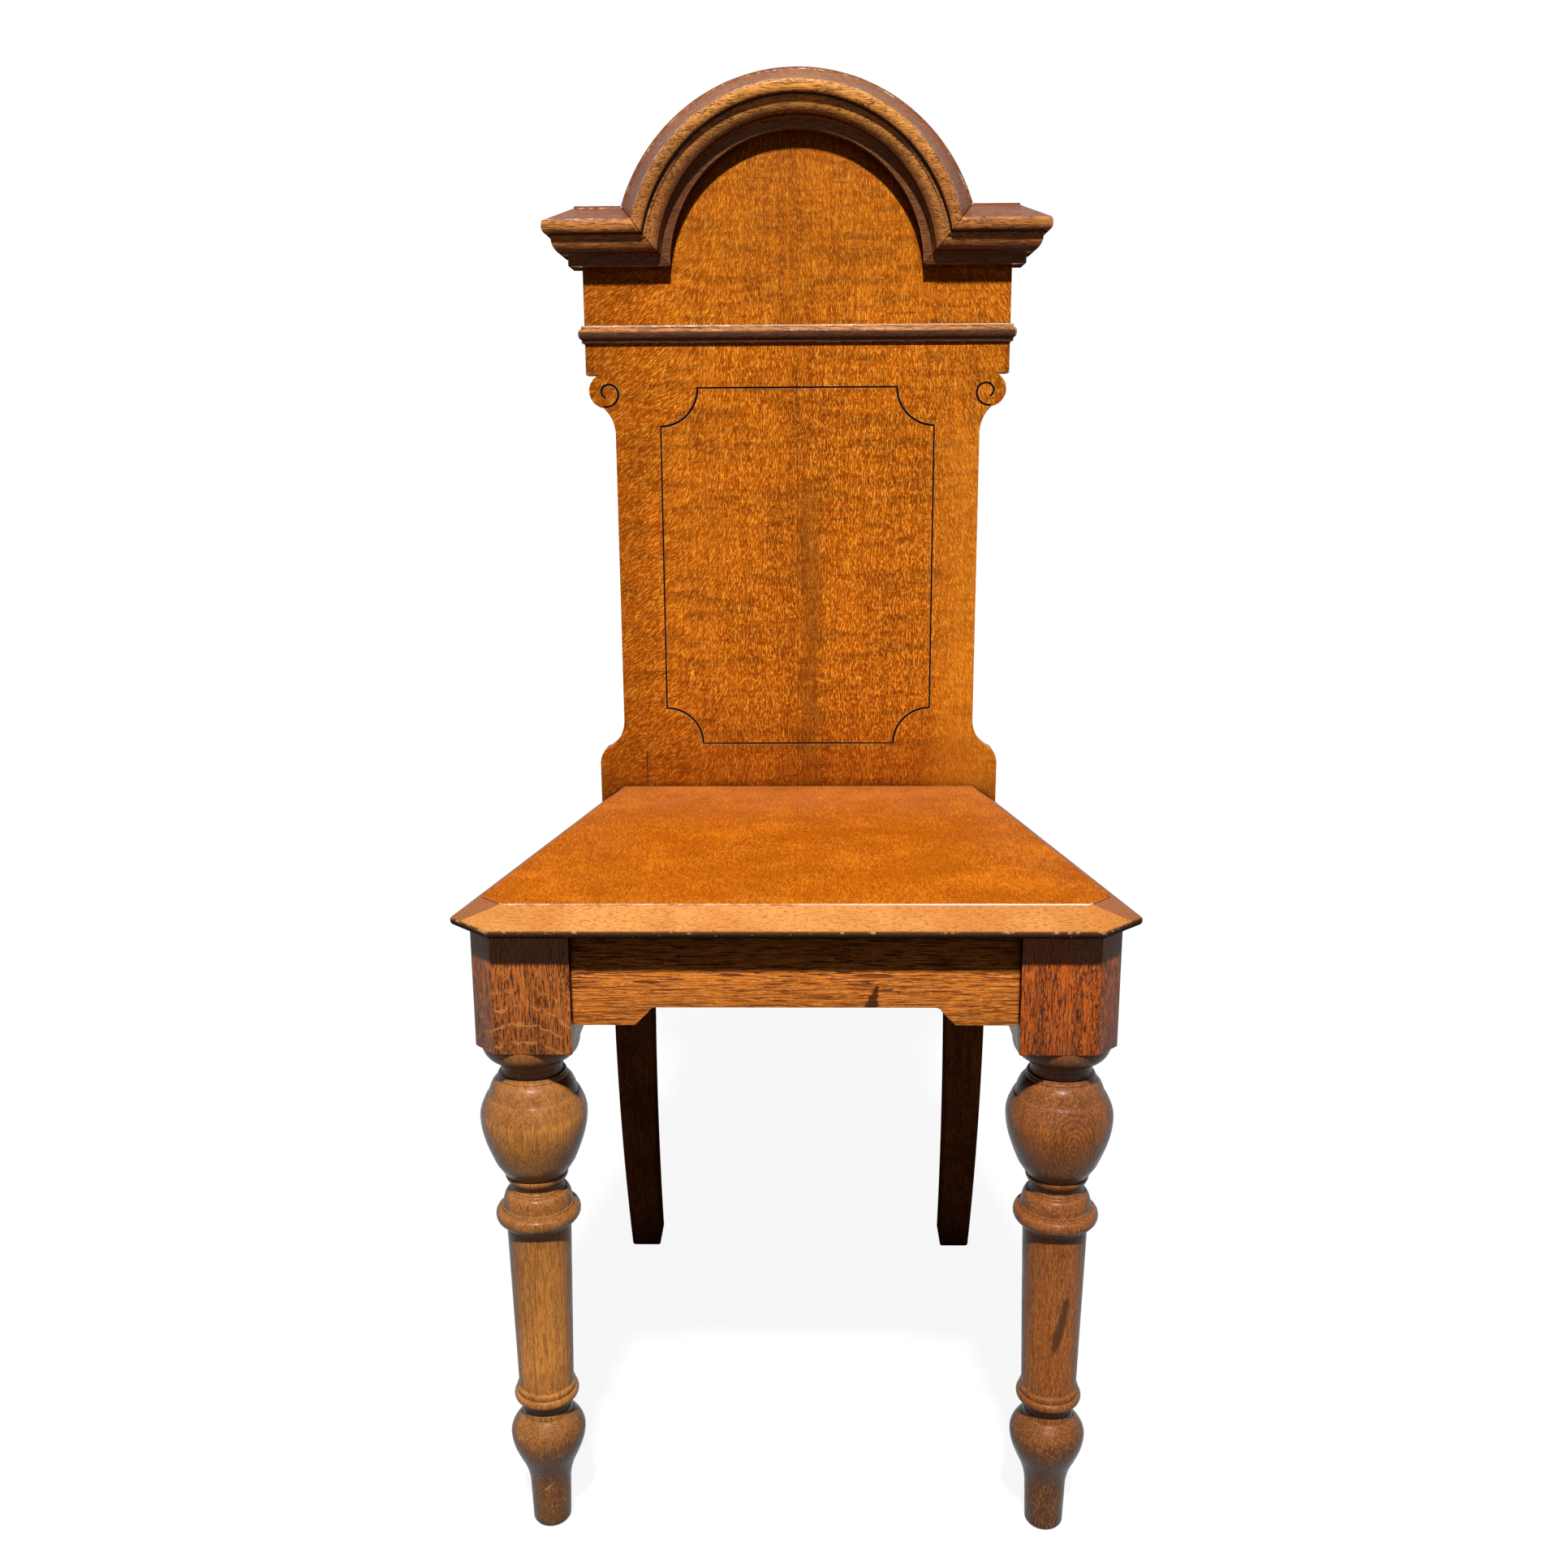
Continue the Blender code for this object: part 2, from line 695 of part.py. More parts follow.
def back_outline():
    """The right half of the back, from the bottom of its tongue to its crown."""
    tongue_bottom = SEAT_UNDER - TONGUE_DEPTH
    foot_top = SEAT_UNDER + FOOT_SIDE_HEIGHT
    points = [(GAP / 2, tongue_bottom), (TONGUE_HALF, tongue_bottom), (TONGUE_HALF, SEAT_UNDER)]
    points.append((FOOT_HALF, SEAT_UNDER))
    centre = (FOOT_HALF - FOOT_ROUND_WIDTH, foot_top)
    points.extend(arc(centre, (FOOT_ROUND_WIDTH, FOOT_ROUND_HEIGHT), 0.0, math.pi / 2, ARC_STEPS))
    centre, swing = foot_cove()
    radii = (COVE_RADIUS, COVE_RADIUS)
    points.extend(arc(centre, radii, math.pi + swing, math.pi, ARC_STEPS))

    scroll = (FRIEZE_HALF - SCROLL_INSET, FRIEZE_BOTTOM - SCROLL_DROP)
    nick_drop = math.sqrt(SCROLL_RADIUS ** 2 - (NICK_HALF - scroll[0]) ** 2)
    cove_x = WAIST_HALF + COVE_RADIUS
    swing = math.acos((cove_x - NICK_HALF) / COVE_RADIUS)
    centre = (cove_x, scroll[1] - nick_drop - COVE_RADIUS * math.sin(swing))
    points.extend(arc(centre, radii, math.pi, math.pi - swing, ARC_STEPS))

    start = -math.acos((NICK_HALF - scroll[0]) / SCROLL_RADIUS)
    end = math.asin(SCROLL_DROP / SCROLL_RADIUS)
    radii = (SCROLL_RADIUS, SCROLL_RADIUS)
    points.extend(arc(scroll, radii, start, end, SCROLL_STEPS)[1:])
    points.append((FRIEZE_HALF, FRIEZE_BOTTOM))

    ear_top = CORNICE_BOTTOM + CORNICE_HEIGHT - TOP_SETDOWN
    points.append((FRIEZE_HALF, ear_top))
    radius = ARCH_OUTER - TOP_SETDOWN
    start = math.asin((ear_top - CORNICE_BOTTOM) / radius)
    crown = arc((0.0, CORNICE_BOTTOM), (radius, radius), start, math.pi / 2, CROWN_STEPS)
    points.extend(crown[:-1])
    points.append((GAP / 2, CORNICE_BOTTOM + radius))
    return points


def groove(name, path, material):
    """A V-shaped cutter along a path of (x, z) points on the face of the back."""
    rings = []
    for index, (x, z) in enumerate(path):
        before = path[max(index - 1, 0)]
        after = path[min(index + 1, len(path) - 1)]
        run = (after[0] - before[0], after[1] - before[1])
        length = math.hypot(*run)
        across = (-run[1] / length, run[0] / length)
        half = GROOVE_WIDTH / 2 * (GROOVE_DEPTH + OVERRUN) / GROOVE_DEPTH
        front = BACK_FACE - OVERRUN
        rings.append(
            (
                (x + across[0] * half, front, z + across[1] * half),
                (x - across[0] * half, front, z - across[1] * half),
                (x, BACK_FACE + GROOVE_DEPTH, z),
            )
        )
    return loft(name, rings, material)


def panel_path(side):
    """Half of the incised panel, with hollow quarter rounds at its corners."""
    radii = (PANEL_CORNER, PANEL_CORNER)
    path = [(-OVERRUN, PANEL_TOP)]
    path.extend(arc((PANEL_HALF, PANEL_TOP), radii, math.pi, math.pi * 1.5, 2 * ARC_STEPS))
    path.extend(arc((PANEL_HALF, PANEL_BOTTOM), radii, math.pi / 2, math.pi, 2 * ARC_STEPS))
    path.append((-OVERRUN, PANEL_BOTTOM))
    return mirrored(path, side)


def spiral_path(side):
    """The incised scroll, which tightens at a steady rate."""
    path = []
    for step in range(SPIRAL_STEPS + 1):
        share = step / SPIRAL_STEPS
        angle = SPIRAL_START - SPIRAL_TURN * share
        radius = SPIRAL_START_RADIUS * (SPIRAL_END_RADIUS / SPIRAL_START_RADIUS) ** share
        x = SPIRAL_MIDDLE + radius * math.cos(angle)
        path.append((x, SPIRAL_HEIGHT + radius * math.sin(angle)))
    return mirrored(path, side)


def make_back_board(side):
    name = "back_board_" + side_name(side)
    outline = mirrored(back_outline(), side)
    board = plate(name, outline, BACK_FACE, BACK_REAR, back_oak(name))
    for kind, path in (("panel_line_", panel_path(side)), ("scroll_line_", spiral_path(side))):
        combine(board, cutter(kind + side_name(side), groove, path), "DIFFERENCE")
    return board


# Mouldings


def cornice_section():
    """(out, up) points of the cornice, from its lower front edge to its top edge."""
    points = [(CORNICE_FILLET, 0.0), (CORNICE_FILLET, CORNICE_FILLET_HEIGHT)]
    bottom = CORNICE_FILLET_HEIGHT + STEP_RISE
    width = CORNICE_OVOLO - CORNICE_OVOLO_START
    height = CORNICE_OVOLO_TOP - bottom
    centre = (CORNICE_OVOLO_START, CORNICE_OVOLO_TOP)
    points.extend(arc(centre, (width, height), -math.pi / 2, 0.0, SECTION_STEPS))
    points.append((CORNICE_SQUARE, CORNICE_OVOLO_TOP + STEP_RISE))
    points.append((CORNICE_SQUARE, CORNICE_SQUARE_TOP))
    bottom = CORNICE_SQUARE_TOP + STEP_RISE
    middle = (bottom + CORNICE_ROLL_TOP) / 2
    half = (CORNICE_ROLL_TOP - bottom) / 2
    swell = CORNICE_ROLL - CORNICE_ROLL_START
    points.extend(arc((CORNICE_ROLL_START, middle), (swell, half), -math.pi / 2, 0.0, SECTION_STEPS))
    swell = CORNICE_ROLL - CORNICE_ROLL_END
    points.extend(arc((CORNICE_ROLL_END, middle), (swell, half), 0.0, math.pi / 2, SECTION_STEPS)[1:])
    points.append((CORNICE_LIP, CORNICE_LIP_BOTTOM))
    points.append((CORNICE_LIP, CORNICE_HEIGHT))
    return points


def string_section():
    """(out, up) points of the string moulding: a bead between two fillets."""
    bead_bottom = STRING_FILLET_HEIGHT + STEP_RISE
    bead_top = STRING_HEIGHT - STRING_FILLET_HEIGHT - STEP_RISE
    middle = (bead_bottom + bead_top) / 2
    radii = (STRING_BEAD - STRING_FILLET, (bead_top - bead_bottom) / 2)
    points = [(STRING_FILLET, 0.0), (STRING_FILLET, STRING_FILLET_HEIGHT)]
    points.extend(arc((STRING_FILLET, middle), radii, -math.pi / 2, math.pi / 2, 2 * SECTION_STEPS))
    points.append((STRING_FILLET, STRING_HEIGHT - STRING_FILLET_HEIGHT))
    points.append((STRING_FILLET, STRING_HEIGHT))
    return points


def moulding(name, section, place, stations, material):
    """A moulding through stations; place(station, out, up) is a point of it there.

    Each point of the section has a partner on the flat back, so that a mitre is made of the same
    flat strips on both of the pieces that meet there.
    """
    bm = bmesh.new()
    fronts = []
    backs = []
    for station in stations:
        fronts.append([bm.verts.new(place(station, out, up)) for out, up in section])
        backs.append([bm.verts.new(place(station, GAP, up)) for out, up in section])
    last = len(section) - 1
    for this in range(len(stations) - 1):
        after = this + 1
        for row in range(last):
            for line in (fronts, backs):
                bm.faces.new((line[this][row], line[this][row + 1], line[after][row + 1], line[after][row]))
        for row in (0, last):
            bm.faces.new((fronts[this][row], fronts[after][row], backs[after][row], backs[this][row]))
    for end in (0, len(stations) - 1):
        for row in range(last):
            bm.faces.new((fronts[end][row], fronts[end][row + 1], backs[end][row + 1], backs[end][row]))
    bmesh.ops.dissolve_limit(bm, angle_limit=math.radians(0.05), verts=bm.verts[:], edges=bm.edges[:])
    return add_object(name, bm, material)


def arch_place(share, out, up):
    """The arch springs from its mitres with the ears, where both stand equally high."""
    radius = ARCH_INNER + up
    spring = math.asin(up / radius) + GAP / radius
    angle = spring + (math.pi - 2 * spring) * share
    return (radius * math.cos(angle), BACK_FACE - out, CORNICE_BOTTOM + radius * math.sin(angle))


def make_cornice_arch():
    stations = [step / ARCH_STEPS for step in range(ARCH_STEPS + 1)]
    return moulding("cornice_arch", cornice_section(), arch_place, stations, moulding_oak("cornice_arch"))


def make_cornice_ear(side):
    def place(end, out, up):
        if end == "mitre":
            x = math.sqrt((ARCH_INNER + up) ** 2 - up ** 2) + GAP
        else:
            x = FRIEZE_HALF + out - GAP
        return (side * x, BACK_FACE - out, CORNICE_BOTTOM + up)

    name = "cornice_ear_" + side_name(side)
    return moulding(name, cornice_section(), place, ("mitre", "corner"), moulding_oak(name))


def make_return(name, side, section, bottom):
    """A moulding carried from the front corner back along the side of the back."""

    def place(end, out, up):
        y = BACK_FACE - out if end == "corner" else BACK_REAR
        return (side * (FRIEZE_HALF + out), y, bottom + up)

    return moulding(name, section, place, ("corner", "rear"), moulding_oak(name))


def make_string_front():
    def place(side, out, up):
        return (side * (FRIEZE_HALF + out - 2 * GAP), BACK_FACE - out, STRING_BOTTOM + up)

    return moulding("string_front", string_section(), place, (-1, 1), moulding_oak("string_front"))


# Glue blocks


def make_glue_blocks():
    blocks = []
    top = RAIL_TOP
    bottom = top - BLOCK_SIZE
    front = LEG_FRONT + RAIL_SETBACK + RAIL_THICKNESS + GAP
    rear = BACK_FACE - GAP
    half = BLOCK_LENGTH / 2
    rows = (("front", FRONT_BLOCK_AT, front), ("back", BACK_BLOCK_AT, rear - BLOCK_SIZE))
    for side in (-1, 1):
        for row, at, y in rows:
            name = "glue_block_" + row + "_" + side_name(side)
            low = (side * at - half, y, bottom)
            high = (side * at + half, y + BLOCK_SIZE, top)
            blocks.append(box(name, low, high, block_pine(name)))
        for number, share in enumerate(SIDE_BLOCK_AT_SHARES, 1):
            y = LEG_BACK + (REAR_LEG_FRONT - LEG_BACK) * share
            inward = RAIL_THICKNESS + GAP
            outline = (
                side_rail_point(y - half, inward),
                side_rail_point(y + half, inward),
                side_rail_point(y + half, inward + BLOCK_SIZE),
                side_rail_point(y - half, inward + BLOCK_SIZE),
            )
            name = "glue_block_side_" + side_name(side) + "_" + str(number)
            blocks.append(prism(name, mirrored(outline, side), bottom, top, block_pine(name)))
    return blocks


# Screws


def screw_places(side):
    """Rows of name, x, z and the depth of the wood's rear face there."""
    upright_x = UPRIGHT_OUTER - UPRIGHT_WIDTH / 2
    front = BACK_REAR + GAP
    z = SEAT_HEIGHT + EAR_SCREW_RISE
    rows = [("ear", REAR_LEG_AXIS, z, front + upright_depth(z))]
    for number, rise in enumerate(UPRIGHT_SCREW_RISES, 1):
        z = SEAT_HEIGHT + rise
        rows.append(("upright_" + str(number), upright_x, z, front + upright_depth(z)))
    z = (RAIL_TOP + RAIL_BOTTOM) / 2
    for number, x in enumerate(RAIL_SCREWS_AT, 1):
        rows.append(("rail_" + str(number), x, z, BACK_RAIL_FRONT + BACK_RAIL_THICKNESS))
    return [(name, side * x, z, rear) for name, x, z, rear in rows]


def make_screw(name, x, z, rear, clearance, head_reach, material):
    """A countersunk wood screw driven forwards; a hole is the same shape, a little larger."""
    head = rear - SCREW_SINK
    tip = BACK_REAR - SCREW_BITE
    rows = (
        (SCREW_HEAD_RADIUS, head + head_reach),
        (SCREW_HEAD_RADIUS, head - SCREW_HEAD_RIM),
        (SCREW_SHANK_RADIUS, head - SCREW_HEAD_RIM - SCREW_CONE),
        (SCREW_SHANK_RADIUS, tip + SCREW_TIP),
        (SCREW_TIP_RADIUS, tip - clearance),
    )
    rings = []
    for radius, y in rows:
        ring = []
        for side in range(SCREW_SIDES):
            angle = math.tau * side / SCREW_SIDES
            out = radius + clearance
            ring.append((x + out * math.cos(angle), y, z + out * math.sin(angle)))
        rings.append(ring)
    return loft(name, rings, material)


def make_screws():
    screws = []
    for side in (-1, 1):
        for name, x, z, rear in screw_places(side):
            name = "screw_" + name + "_" + side_name(side)
            screws.append(make_screw(name, x, z, rear, 0.0, 0.0, screw_steel(name)))
    return screws


def drill(wood, side, kinds):
    """Cut the holes of these kinds of screws into a piece."""
    for name, x, z, rear in screw_places(side):
        if name.startswith(kinds):
            hole = "hole_" + wood.name + "_" + name
            combine(wood, cutter(hole, make_screw, x, z, rear, GAP, OVERRUN), "DIFFERENCE")


def make_chair():
    make_front_rail()
    back_rail = make_back_rail()
    front_mortise = cutter("front_mortise", make_front_tenon, GAP)
    back_mortise = cutter("back_mortise", make_back_tenon, GAP)
    make_cornice_arch()
    make_string_front()
    for side in (-1, 1):
        make_seat_board(side)
        make_side_rail(side)
        side_mortise = cutter("side_mortise_" + side_name(side), make_side_tenon, side, GAP)
        front_leg = make_front_leg(side)
        combine(front_leg, front_mortise, "DIFFERENCE")
        combine(front_leg, side_mortise, "DIFFERENCE")
        rear_leg = make_rear_leg(side)
        combine(rear_leg, back_mortise, "DIFFERENCE")
        combine(rear_leg, side_mortise, "DIFFERENCE")
        drill(rear_leg, side, ("ear", "upright"))
        drill(back_rail, side, ("rail",))
        back_board = make_back_board(side)
        drill(back_board, side, ("ear", "upright", "rail"))
        make_cornice_ear(side)
        make_return("cornice_return_" + side_name(side), side, cornice_section(), CORNICE_BOTTOM)
        make_return("string_return_" + side_name(side), side, string_section(), STRING_BOTTOM)
    make_glue_blocks()
    make_screws()


clear_scene()
make_chair()
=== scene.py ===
"""Looks of the oak hall chair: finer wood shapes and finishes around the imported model.

Metres, +Z up, the front towards -Y, left is -X as seen from the front.
"""

import math

import bmesh
import bpy
from mathutils import Matrix, Vector


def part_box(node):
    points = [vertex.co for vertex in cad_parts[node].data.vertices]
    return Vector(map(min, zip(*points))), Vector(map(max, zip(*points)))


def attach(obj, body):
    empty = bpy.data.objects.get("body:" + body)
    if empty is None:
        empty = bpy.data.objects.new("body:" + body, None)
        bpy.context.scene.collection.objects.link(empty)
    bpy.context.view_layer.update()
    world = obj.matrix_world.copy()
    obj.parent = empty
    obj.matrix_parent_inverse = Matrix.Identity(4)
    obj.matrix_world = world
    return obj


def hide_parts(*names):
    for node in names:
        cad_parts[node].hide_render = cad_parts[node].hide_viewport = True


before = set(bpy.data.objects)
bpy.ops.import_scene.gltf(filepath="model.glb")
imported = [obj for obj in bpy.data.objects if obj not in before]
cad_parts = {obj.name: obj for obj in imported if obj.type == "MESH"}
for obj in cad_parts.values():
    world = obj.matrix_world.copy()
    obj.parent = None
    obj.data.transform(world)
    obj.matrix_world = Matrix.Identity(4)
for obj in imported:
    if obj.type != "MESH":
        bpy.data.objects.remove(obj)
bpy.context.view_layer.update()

# Places read from the frame
seat_low, seat_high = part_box("seat_board_right")
back_low, back_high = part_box("back_board_right")
leg_low, leg_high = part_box("front_leg_right")
rail_low, rail_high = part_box("front_rail")
rear_low, rear_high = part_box("rear_leg_right")
ear_low, ear_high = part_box("cornice_ear_right")
string_low, string_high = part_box("string_front")

GAP = 0.0003
JOINT = 0.00004          # half the glue line between two boards
HAIR = 0.00001           # keeps a rounded top inside the frame's box
MERGE = 0.00002          # points nearer than this are one
SIDES = ("left", "right")
SEAT_TOP = seat_high.z
SEAT_UNDER = seat_low.z
SEAT_FRONT = seat_low.y
SEAT_REAR = seat_high.y
SEAT_HALF = seat_high.x
BACK_FACE = back_low.y
BACK_REAR = back_high.y
RAIL_TOP = rail_high.z
LEG_X = (leg_low.x + leg_high.x) / 2
LEG_Y = (leg_low.y + leg_high.y) / 2
FRIEZE_HALF = back_high.x
CORNICE_BOTTOM = ear_low.z
CORNICE_HEIGHT = ear_high.z - ear_low.z - HAIR

# Seat
SEAT_BACK_HALF = 0.166
SEAT_CANT = 0.0285
BEVEL_WIDTH = 0.018
BEVEL_FALL = 0.011
BEVEL_STEP = 0.0016
NOSE_ROUND = 0.0032
NOSE_EDGE = 0.0011
ARRIS = 0.0007           # how far a sharp edge of the wood is rubbed round

# Faces of a round, and the angles that tell an edge to round or to keep sharp from the rest
ARRIS_STEPS = 2
LEG_ARRIS_STEPS = 3
NOSE_STEPS = 5
NOSE_EDGE_STEPS = 3
FOOT_STEPS = 4
LINE_STEPS = 3
SMOOTH_ANGLE = math.radians(32)
SEAT_SMOOTH_ANGLE = math.radians(24)
RIM_ANGLE = math.radians(20)
LEG_ANGLE = math.radians(30)
SMALL_ANGLE = math.radians(40)     # on glue blocks and screws
REAR_ANGLE = math.radians(50)
BOARD_ANGLE = math.radians(60)
STRAIGHT_ANGLE = math.radians(0.2)
FLAT_ANGLE = math.radians(1)
FACING_UP = 0.9
LEVEL = 0.9999

# Front legs
BLOCK_HALF = 0.0328
BLOCK_HEIGHT = 0.083
BLOCK_CANT = 0.0157
TURNING_RADIUS = 0.0356
TURNED_LENGTH = SEAT_UNDER - BLOCK_HEIGHT
TURNING_SINK = 0.002
TURNING_STEPS = 96
CURVE_STEPS = 9
RING_ROUND = 0.0005
CORNER_ANGLE = math.radians(22)
BEAD_SWELL_SHARE = 0.40
TURNING_SHARES = (
    ("line", 0.0, 0.330),
    ("line", 0.006, 0.372),
    ("line", 0.080, 0.398),
    ("hollow", 0.146, 0.575),
    ("swell", 0.198, 0.727),
    ("shrink", 0.2365, 0.500),
    ("line", 0.2385, 0.478),
    ("line", 0.248, 0.470),
    ("line", 0.2505, 0.445),
    ("line", 0.268, 0.430),
    ("line", 0.2695, 0.540),
    ("bead", 0.2885, 0.558),
    ("line", 0.290, 0.575),
    ("line", 0.297, 0.570),
    ("line", 0.301, 0.530),
    ("line", 0.631, 0.610),
    ("hollow", 0.641, 0.668),
    ("bead", 0.669, 0.705),
    ("line", 0.6695, 0.682),
    ("line", 0.6735, 0.680),
    ("line", 0.674, 0.655),
    ("dome", 0.7025, 0.530),
    ("line", 0.7045, 0.505),
    ("line", 0.7085, 0.505),
    ("line", 0.7095, 0.485),
    ("line", 0.717, 0.485),
    ("line", 0.718, 0.515),
    ("swell", 0.7355, 0.595),
    ("line", 0.7365, 0.570),
    ("line", 0.739, 0.570),
    ("line", 0.740, 0.605),
    ("line", 0.762, 0.750),
    ("swell", 0.853, 1.0),
    ("shrink", 0.8925, 0.868),
    ("line", 0.8945, 0.836),
    ("line", 0.906, 0.800),
    ("line", 0.9165, 0.752),
    ("line", 0.926, 0.668),
    ("line", 0.927, 0.650),
    ("line", 0.931, 0.650),
    ("line", 0.932, 0.628),
    ("line", 0.936, 0.625),
    ("line", 0.937, 0.565),
    ("line", 0.950, 0.565),
    ("line", 0.951, 0.590),
    ("line", 0.957, 0.590),
    ("line", 0.958, 0.615),
    ("line", 0.963, 0.615),
    ("line", 0.964, 0.640),
    ("round", 1.0, 0.915),
)

# Front rail and its cut-away
RAIL_THICKNESS = 0.022
RAIL_SETBACK = 0.0035
RAIL_HEIGHT = 0.064
SCOOP_HALF = 0.0885
SCOOP_RISE = 0.0120
SCOOP_SLOPE = 0.0092
SCOOP_COVE = 0.0050
SIDE_RAIL_INSET = 0.003

# Rear legs and uprights
REAR_AXIS = 0.1475
REAR_WIDTH = 0.033
REAR_FOOT_WIDTH = 0.0265
REAR_DEPTH = 0.036
REAR_SETBACK = 0.010
RAKE_TOP = 0.245
RAKE_SWEEP = 0.0525
RAKE_POWER = 1.8
RAKE_STEPS = 28
UPRIGHT_WIDTH = 0.025
UPRIGHT_OUTER = 0.143
UPRIGHT_TOP = rear_high.z
UPRIGHT_TOP_DEPTH = 0.016
UPRIGHT_SHOULDER = 0.048
UPRIGHT_COVE_DROP = 0.008
REAR_ROUND = 0.0012
FOOT_ROUND = 0.0042
BACK_RAIL_THICKNESS = 0.020

# Back
TONGUE_HALF = 0.1295
FOOT_HALF = 0.1675
FOOT_SIDE_HEIGHT = 0.037
FOOT_ROUND_WIDTH = 0.0075
FOOT_ROUND_HEIGHT = 0.0135
FOOT_NICK = 0.001
WAIST_HALF = 0.1465
COVE_RADIUS = 0.028
FRIEZE_BOTTOM = SEAT_TOP + 0.3374
SCROLL_RADIUS = 0.0135
SCROLL_INSET = 0.0155
SCROLL_DROP = 0.0124
NICK_HALF = 0.1558
TOP_SETDOWN = 0.0005
ARC_STEPS = 14
CROWN_STEPS = 48

# Incised lines
LINE_RADIUS = 0.00105
LINE_LIFT = 0.00015      # the middle of the round cutter, in front of the face
PANEL_HALF = 0.110
PANEL_BOTTOM = SEAT_TOP + 0.037
PANEL_TOP = SEAT_TOP + 0.327
PANEL_CORNER = 0.030
SPIRAL_CENTRE = (0.152, SEAT_TOP + 0.3233)
SPIRAL_START_RADIUS = 0.0112
SPIRAL_END_RADIUS = 0.0042
SPIRAL_START = math.radians(-72)
SPIRAL_TURN = math.radians(355)
SPIRAL_STEPS = 60

# Cornice and string mouldings
CORNICE_FILLET = 0.0096
CORNICE_FILLET_HEIGHT = 0.0072
CORNICE_OVOLO_START = 0.0106
CORNICE_OVOLO_TOP = 0.0192
CORNICE_OVOLO = 0.0208
CORNICE_SQUARE = 0.0218
CORNICE_SQUARE_TOP = 0.0219
CORNICE_ROLL_START = 0.0236
CORNICE_ROLL_TOP = 0.0322
CORNICE_ROLL = 0.0269
CORNICE_ROLL_END = 0.0248
CORNICE_LIP = 0.0044
CORNICE_LIP_BOTTOM = 0.0434
ARCH_INNER = 0.099
ARCH_STEPS = 144
SECTION_STEPS = 9
MOULDING_ROUND = 0.00035
STRING_FILLET = 0.0022
STRING_FILLET_HEIGHT = 0.0026
STRING_BEAD = 0.0046
RUN_SPARE = 0.05         # how far a moulding is run past its mitre before it is cut

# Glue blocks and screws
SCREW_HEAD = 0.0043
SCREW_DEEP = 0.0016
SLOT_WIDTH = 0.0011
SLOT_DEPTH = 0.0009
SCREW_SIDES = 40
SLOT_TURN = math.radians(53)    # makes each slot stand at its own angle


# Hand tools: short helpers over Blender's own operators


def set_aside():
    """Nothing selected, nothing in hand."""
    if bpy.context.object and bpy.context.object.mode != "OBJECT":
        bpy.ops.object.mode_set(mode="OBJECT")
    bpy.ops.object.select_all(action="DESELECT")


def take(piece):
    """Only this piece selected, and in hand."""
    set_aside()
    piece.select_set(True)
    bpy.context.view_layer.objects.active = piece


def edit(piece):
    """The piece in hand, in edit mode."""
    take(piece)
    bpy.ops.object.mode_set(mode="EDIT")


def settle(piece):
    """Out of edit mode, with the place in the mesh and the object at the origin."""
    take(piece)
    bpy.ops.object.transform_apply(location=True, rotation=True, scale=True)
    return piece


def add_block(name, low, high):
    set_aside()
    middle = (Vector(low) + Vector(high)) / 2
    bpy.ops.mesh.primitive_cube_add(size=1.0, location=middle)
    piece = bpy.context.object
    piece.name = name
    piece.scale = Vector(high) - Vector(low)
    return settle(piece)


def pick(piece, kind, test):
    """In edit mode, select only the points, edges or faces that pass a test."""
    bpy.ops.mesh.select_mode(type={"verts": "VERT", "edges": "EDGE", "faces": "FACE"}[kind])
    bpy.ops.mesh.select_all(action="DESELECT")
    mesh = bmesh.from_edit_mesh(piece.data)
    for element in getattr(mesh, kind):
        if test(element):
            element.select_set(True)
    mesh.select_flush_mode()
    bmesh.update_edit_mesh(piece.data)


def middle_of(edge):
    return (edge.verts[0].co + edge.verts[1].co) / 2


def draw(name, points):
    """A line of points drawn one after another, as an open chain in edit mode."""
    set_aside()
    bpy.ops.mesh.primitive_plane_add(size=TURNING_RADIUS, location=points[0])
    piece = bpy.context.object
    piece.name = name
    settle(piece)
    edit(piece)
    bpy.ops.mesh.select_mode(type="VERT")
    bpy.ops.mesh.select_all(action="SELECT")
    bpy.ops.mesh.merge(type="CENTER")
    for before, after in zip(points, points[1:]):
        step = Vector(after) - Vector(before)
        bpy.ops.mesh.extrude_region_move(TRANSFORM_OT_translate={"value": step})
    return piece


def close_chain(piece):
    """Join the two ends of the drawn chain, so that it is a loop."""
    pick(piece, "verts", lambda vert: len(vert.link_edges) == 1)
    bpy.ops.mesh.edge_face_add()


def board(name, outline, along):
    """A flat board: an outline drawn, filled and extruded."""
    piece = draw(name, outline)
    close_chain(piece)
    bpy.ops.mesh.select_all(action="SELECT")
    bpy.ops.mesh.edge_face_add()
    bpy.ops.mesh.extrude_region_move(TRANSFORM_OT_translate={"value": along})
    face_out()
    return piece


def face_out():
    """In edit mode, all faces of the piece in hand turned outwards."""
    bpy.ops.mesh.select_all(action="SELECT")
    bpy.ops.mesh.normals_make_consistent(inside=False)


def soften(piece, width, steps, test):
    """Round the edges that pass a test, in edit mode."""
    pick(piece, "edges", test)
    bpy.ops.mesh.bevel(offset=width, segments=steps, affect="EDGES", clamp_overlap=True)


def sharp(angle):
    """A test for edges whose faces meet at more than an angle."""

    def test(edge):
        return len(edge.link_faces) == 2 and edge.calc_face_angle(0.0) > angle

    return test


def slice_off(point, normal):
    """In edit mode, cut the piece in hand at a plane, keep what lies behind it and cap the cut."""
    bpy.ops.mesh.select_all(action="SELECT")
    bpy.ops.mesh.bisect(plane_co=point, plane_no=normal, use_fill=True, clear_outer=True)


def smooth(piece, angle=SMOOTH_ANGLE):
    take(piece)
    bpy.ops.object.shade_smooth_by_angle(angle=angle)
    return piece


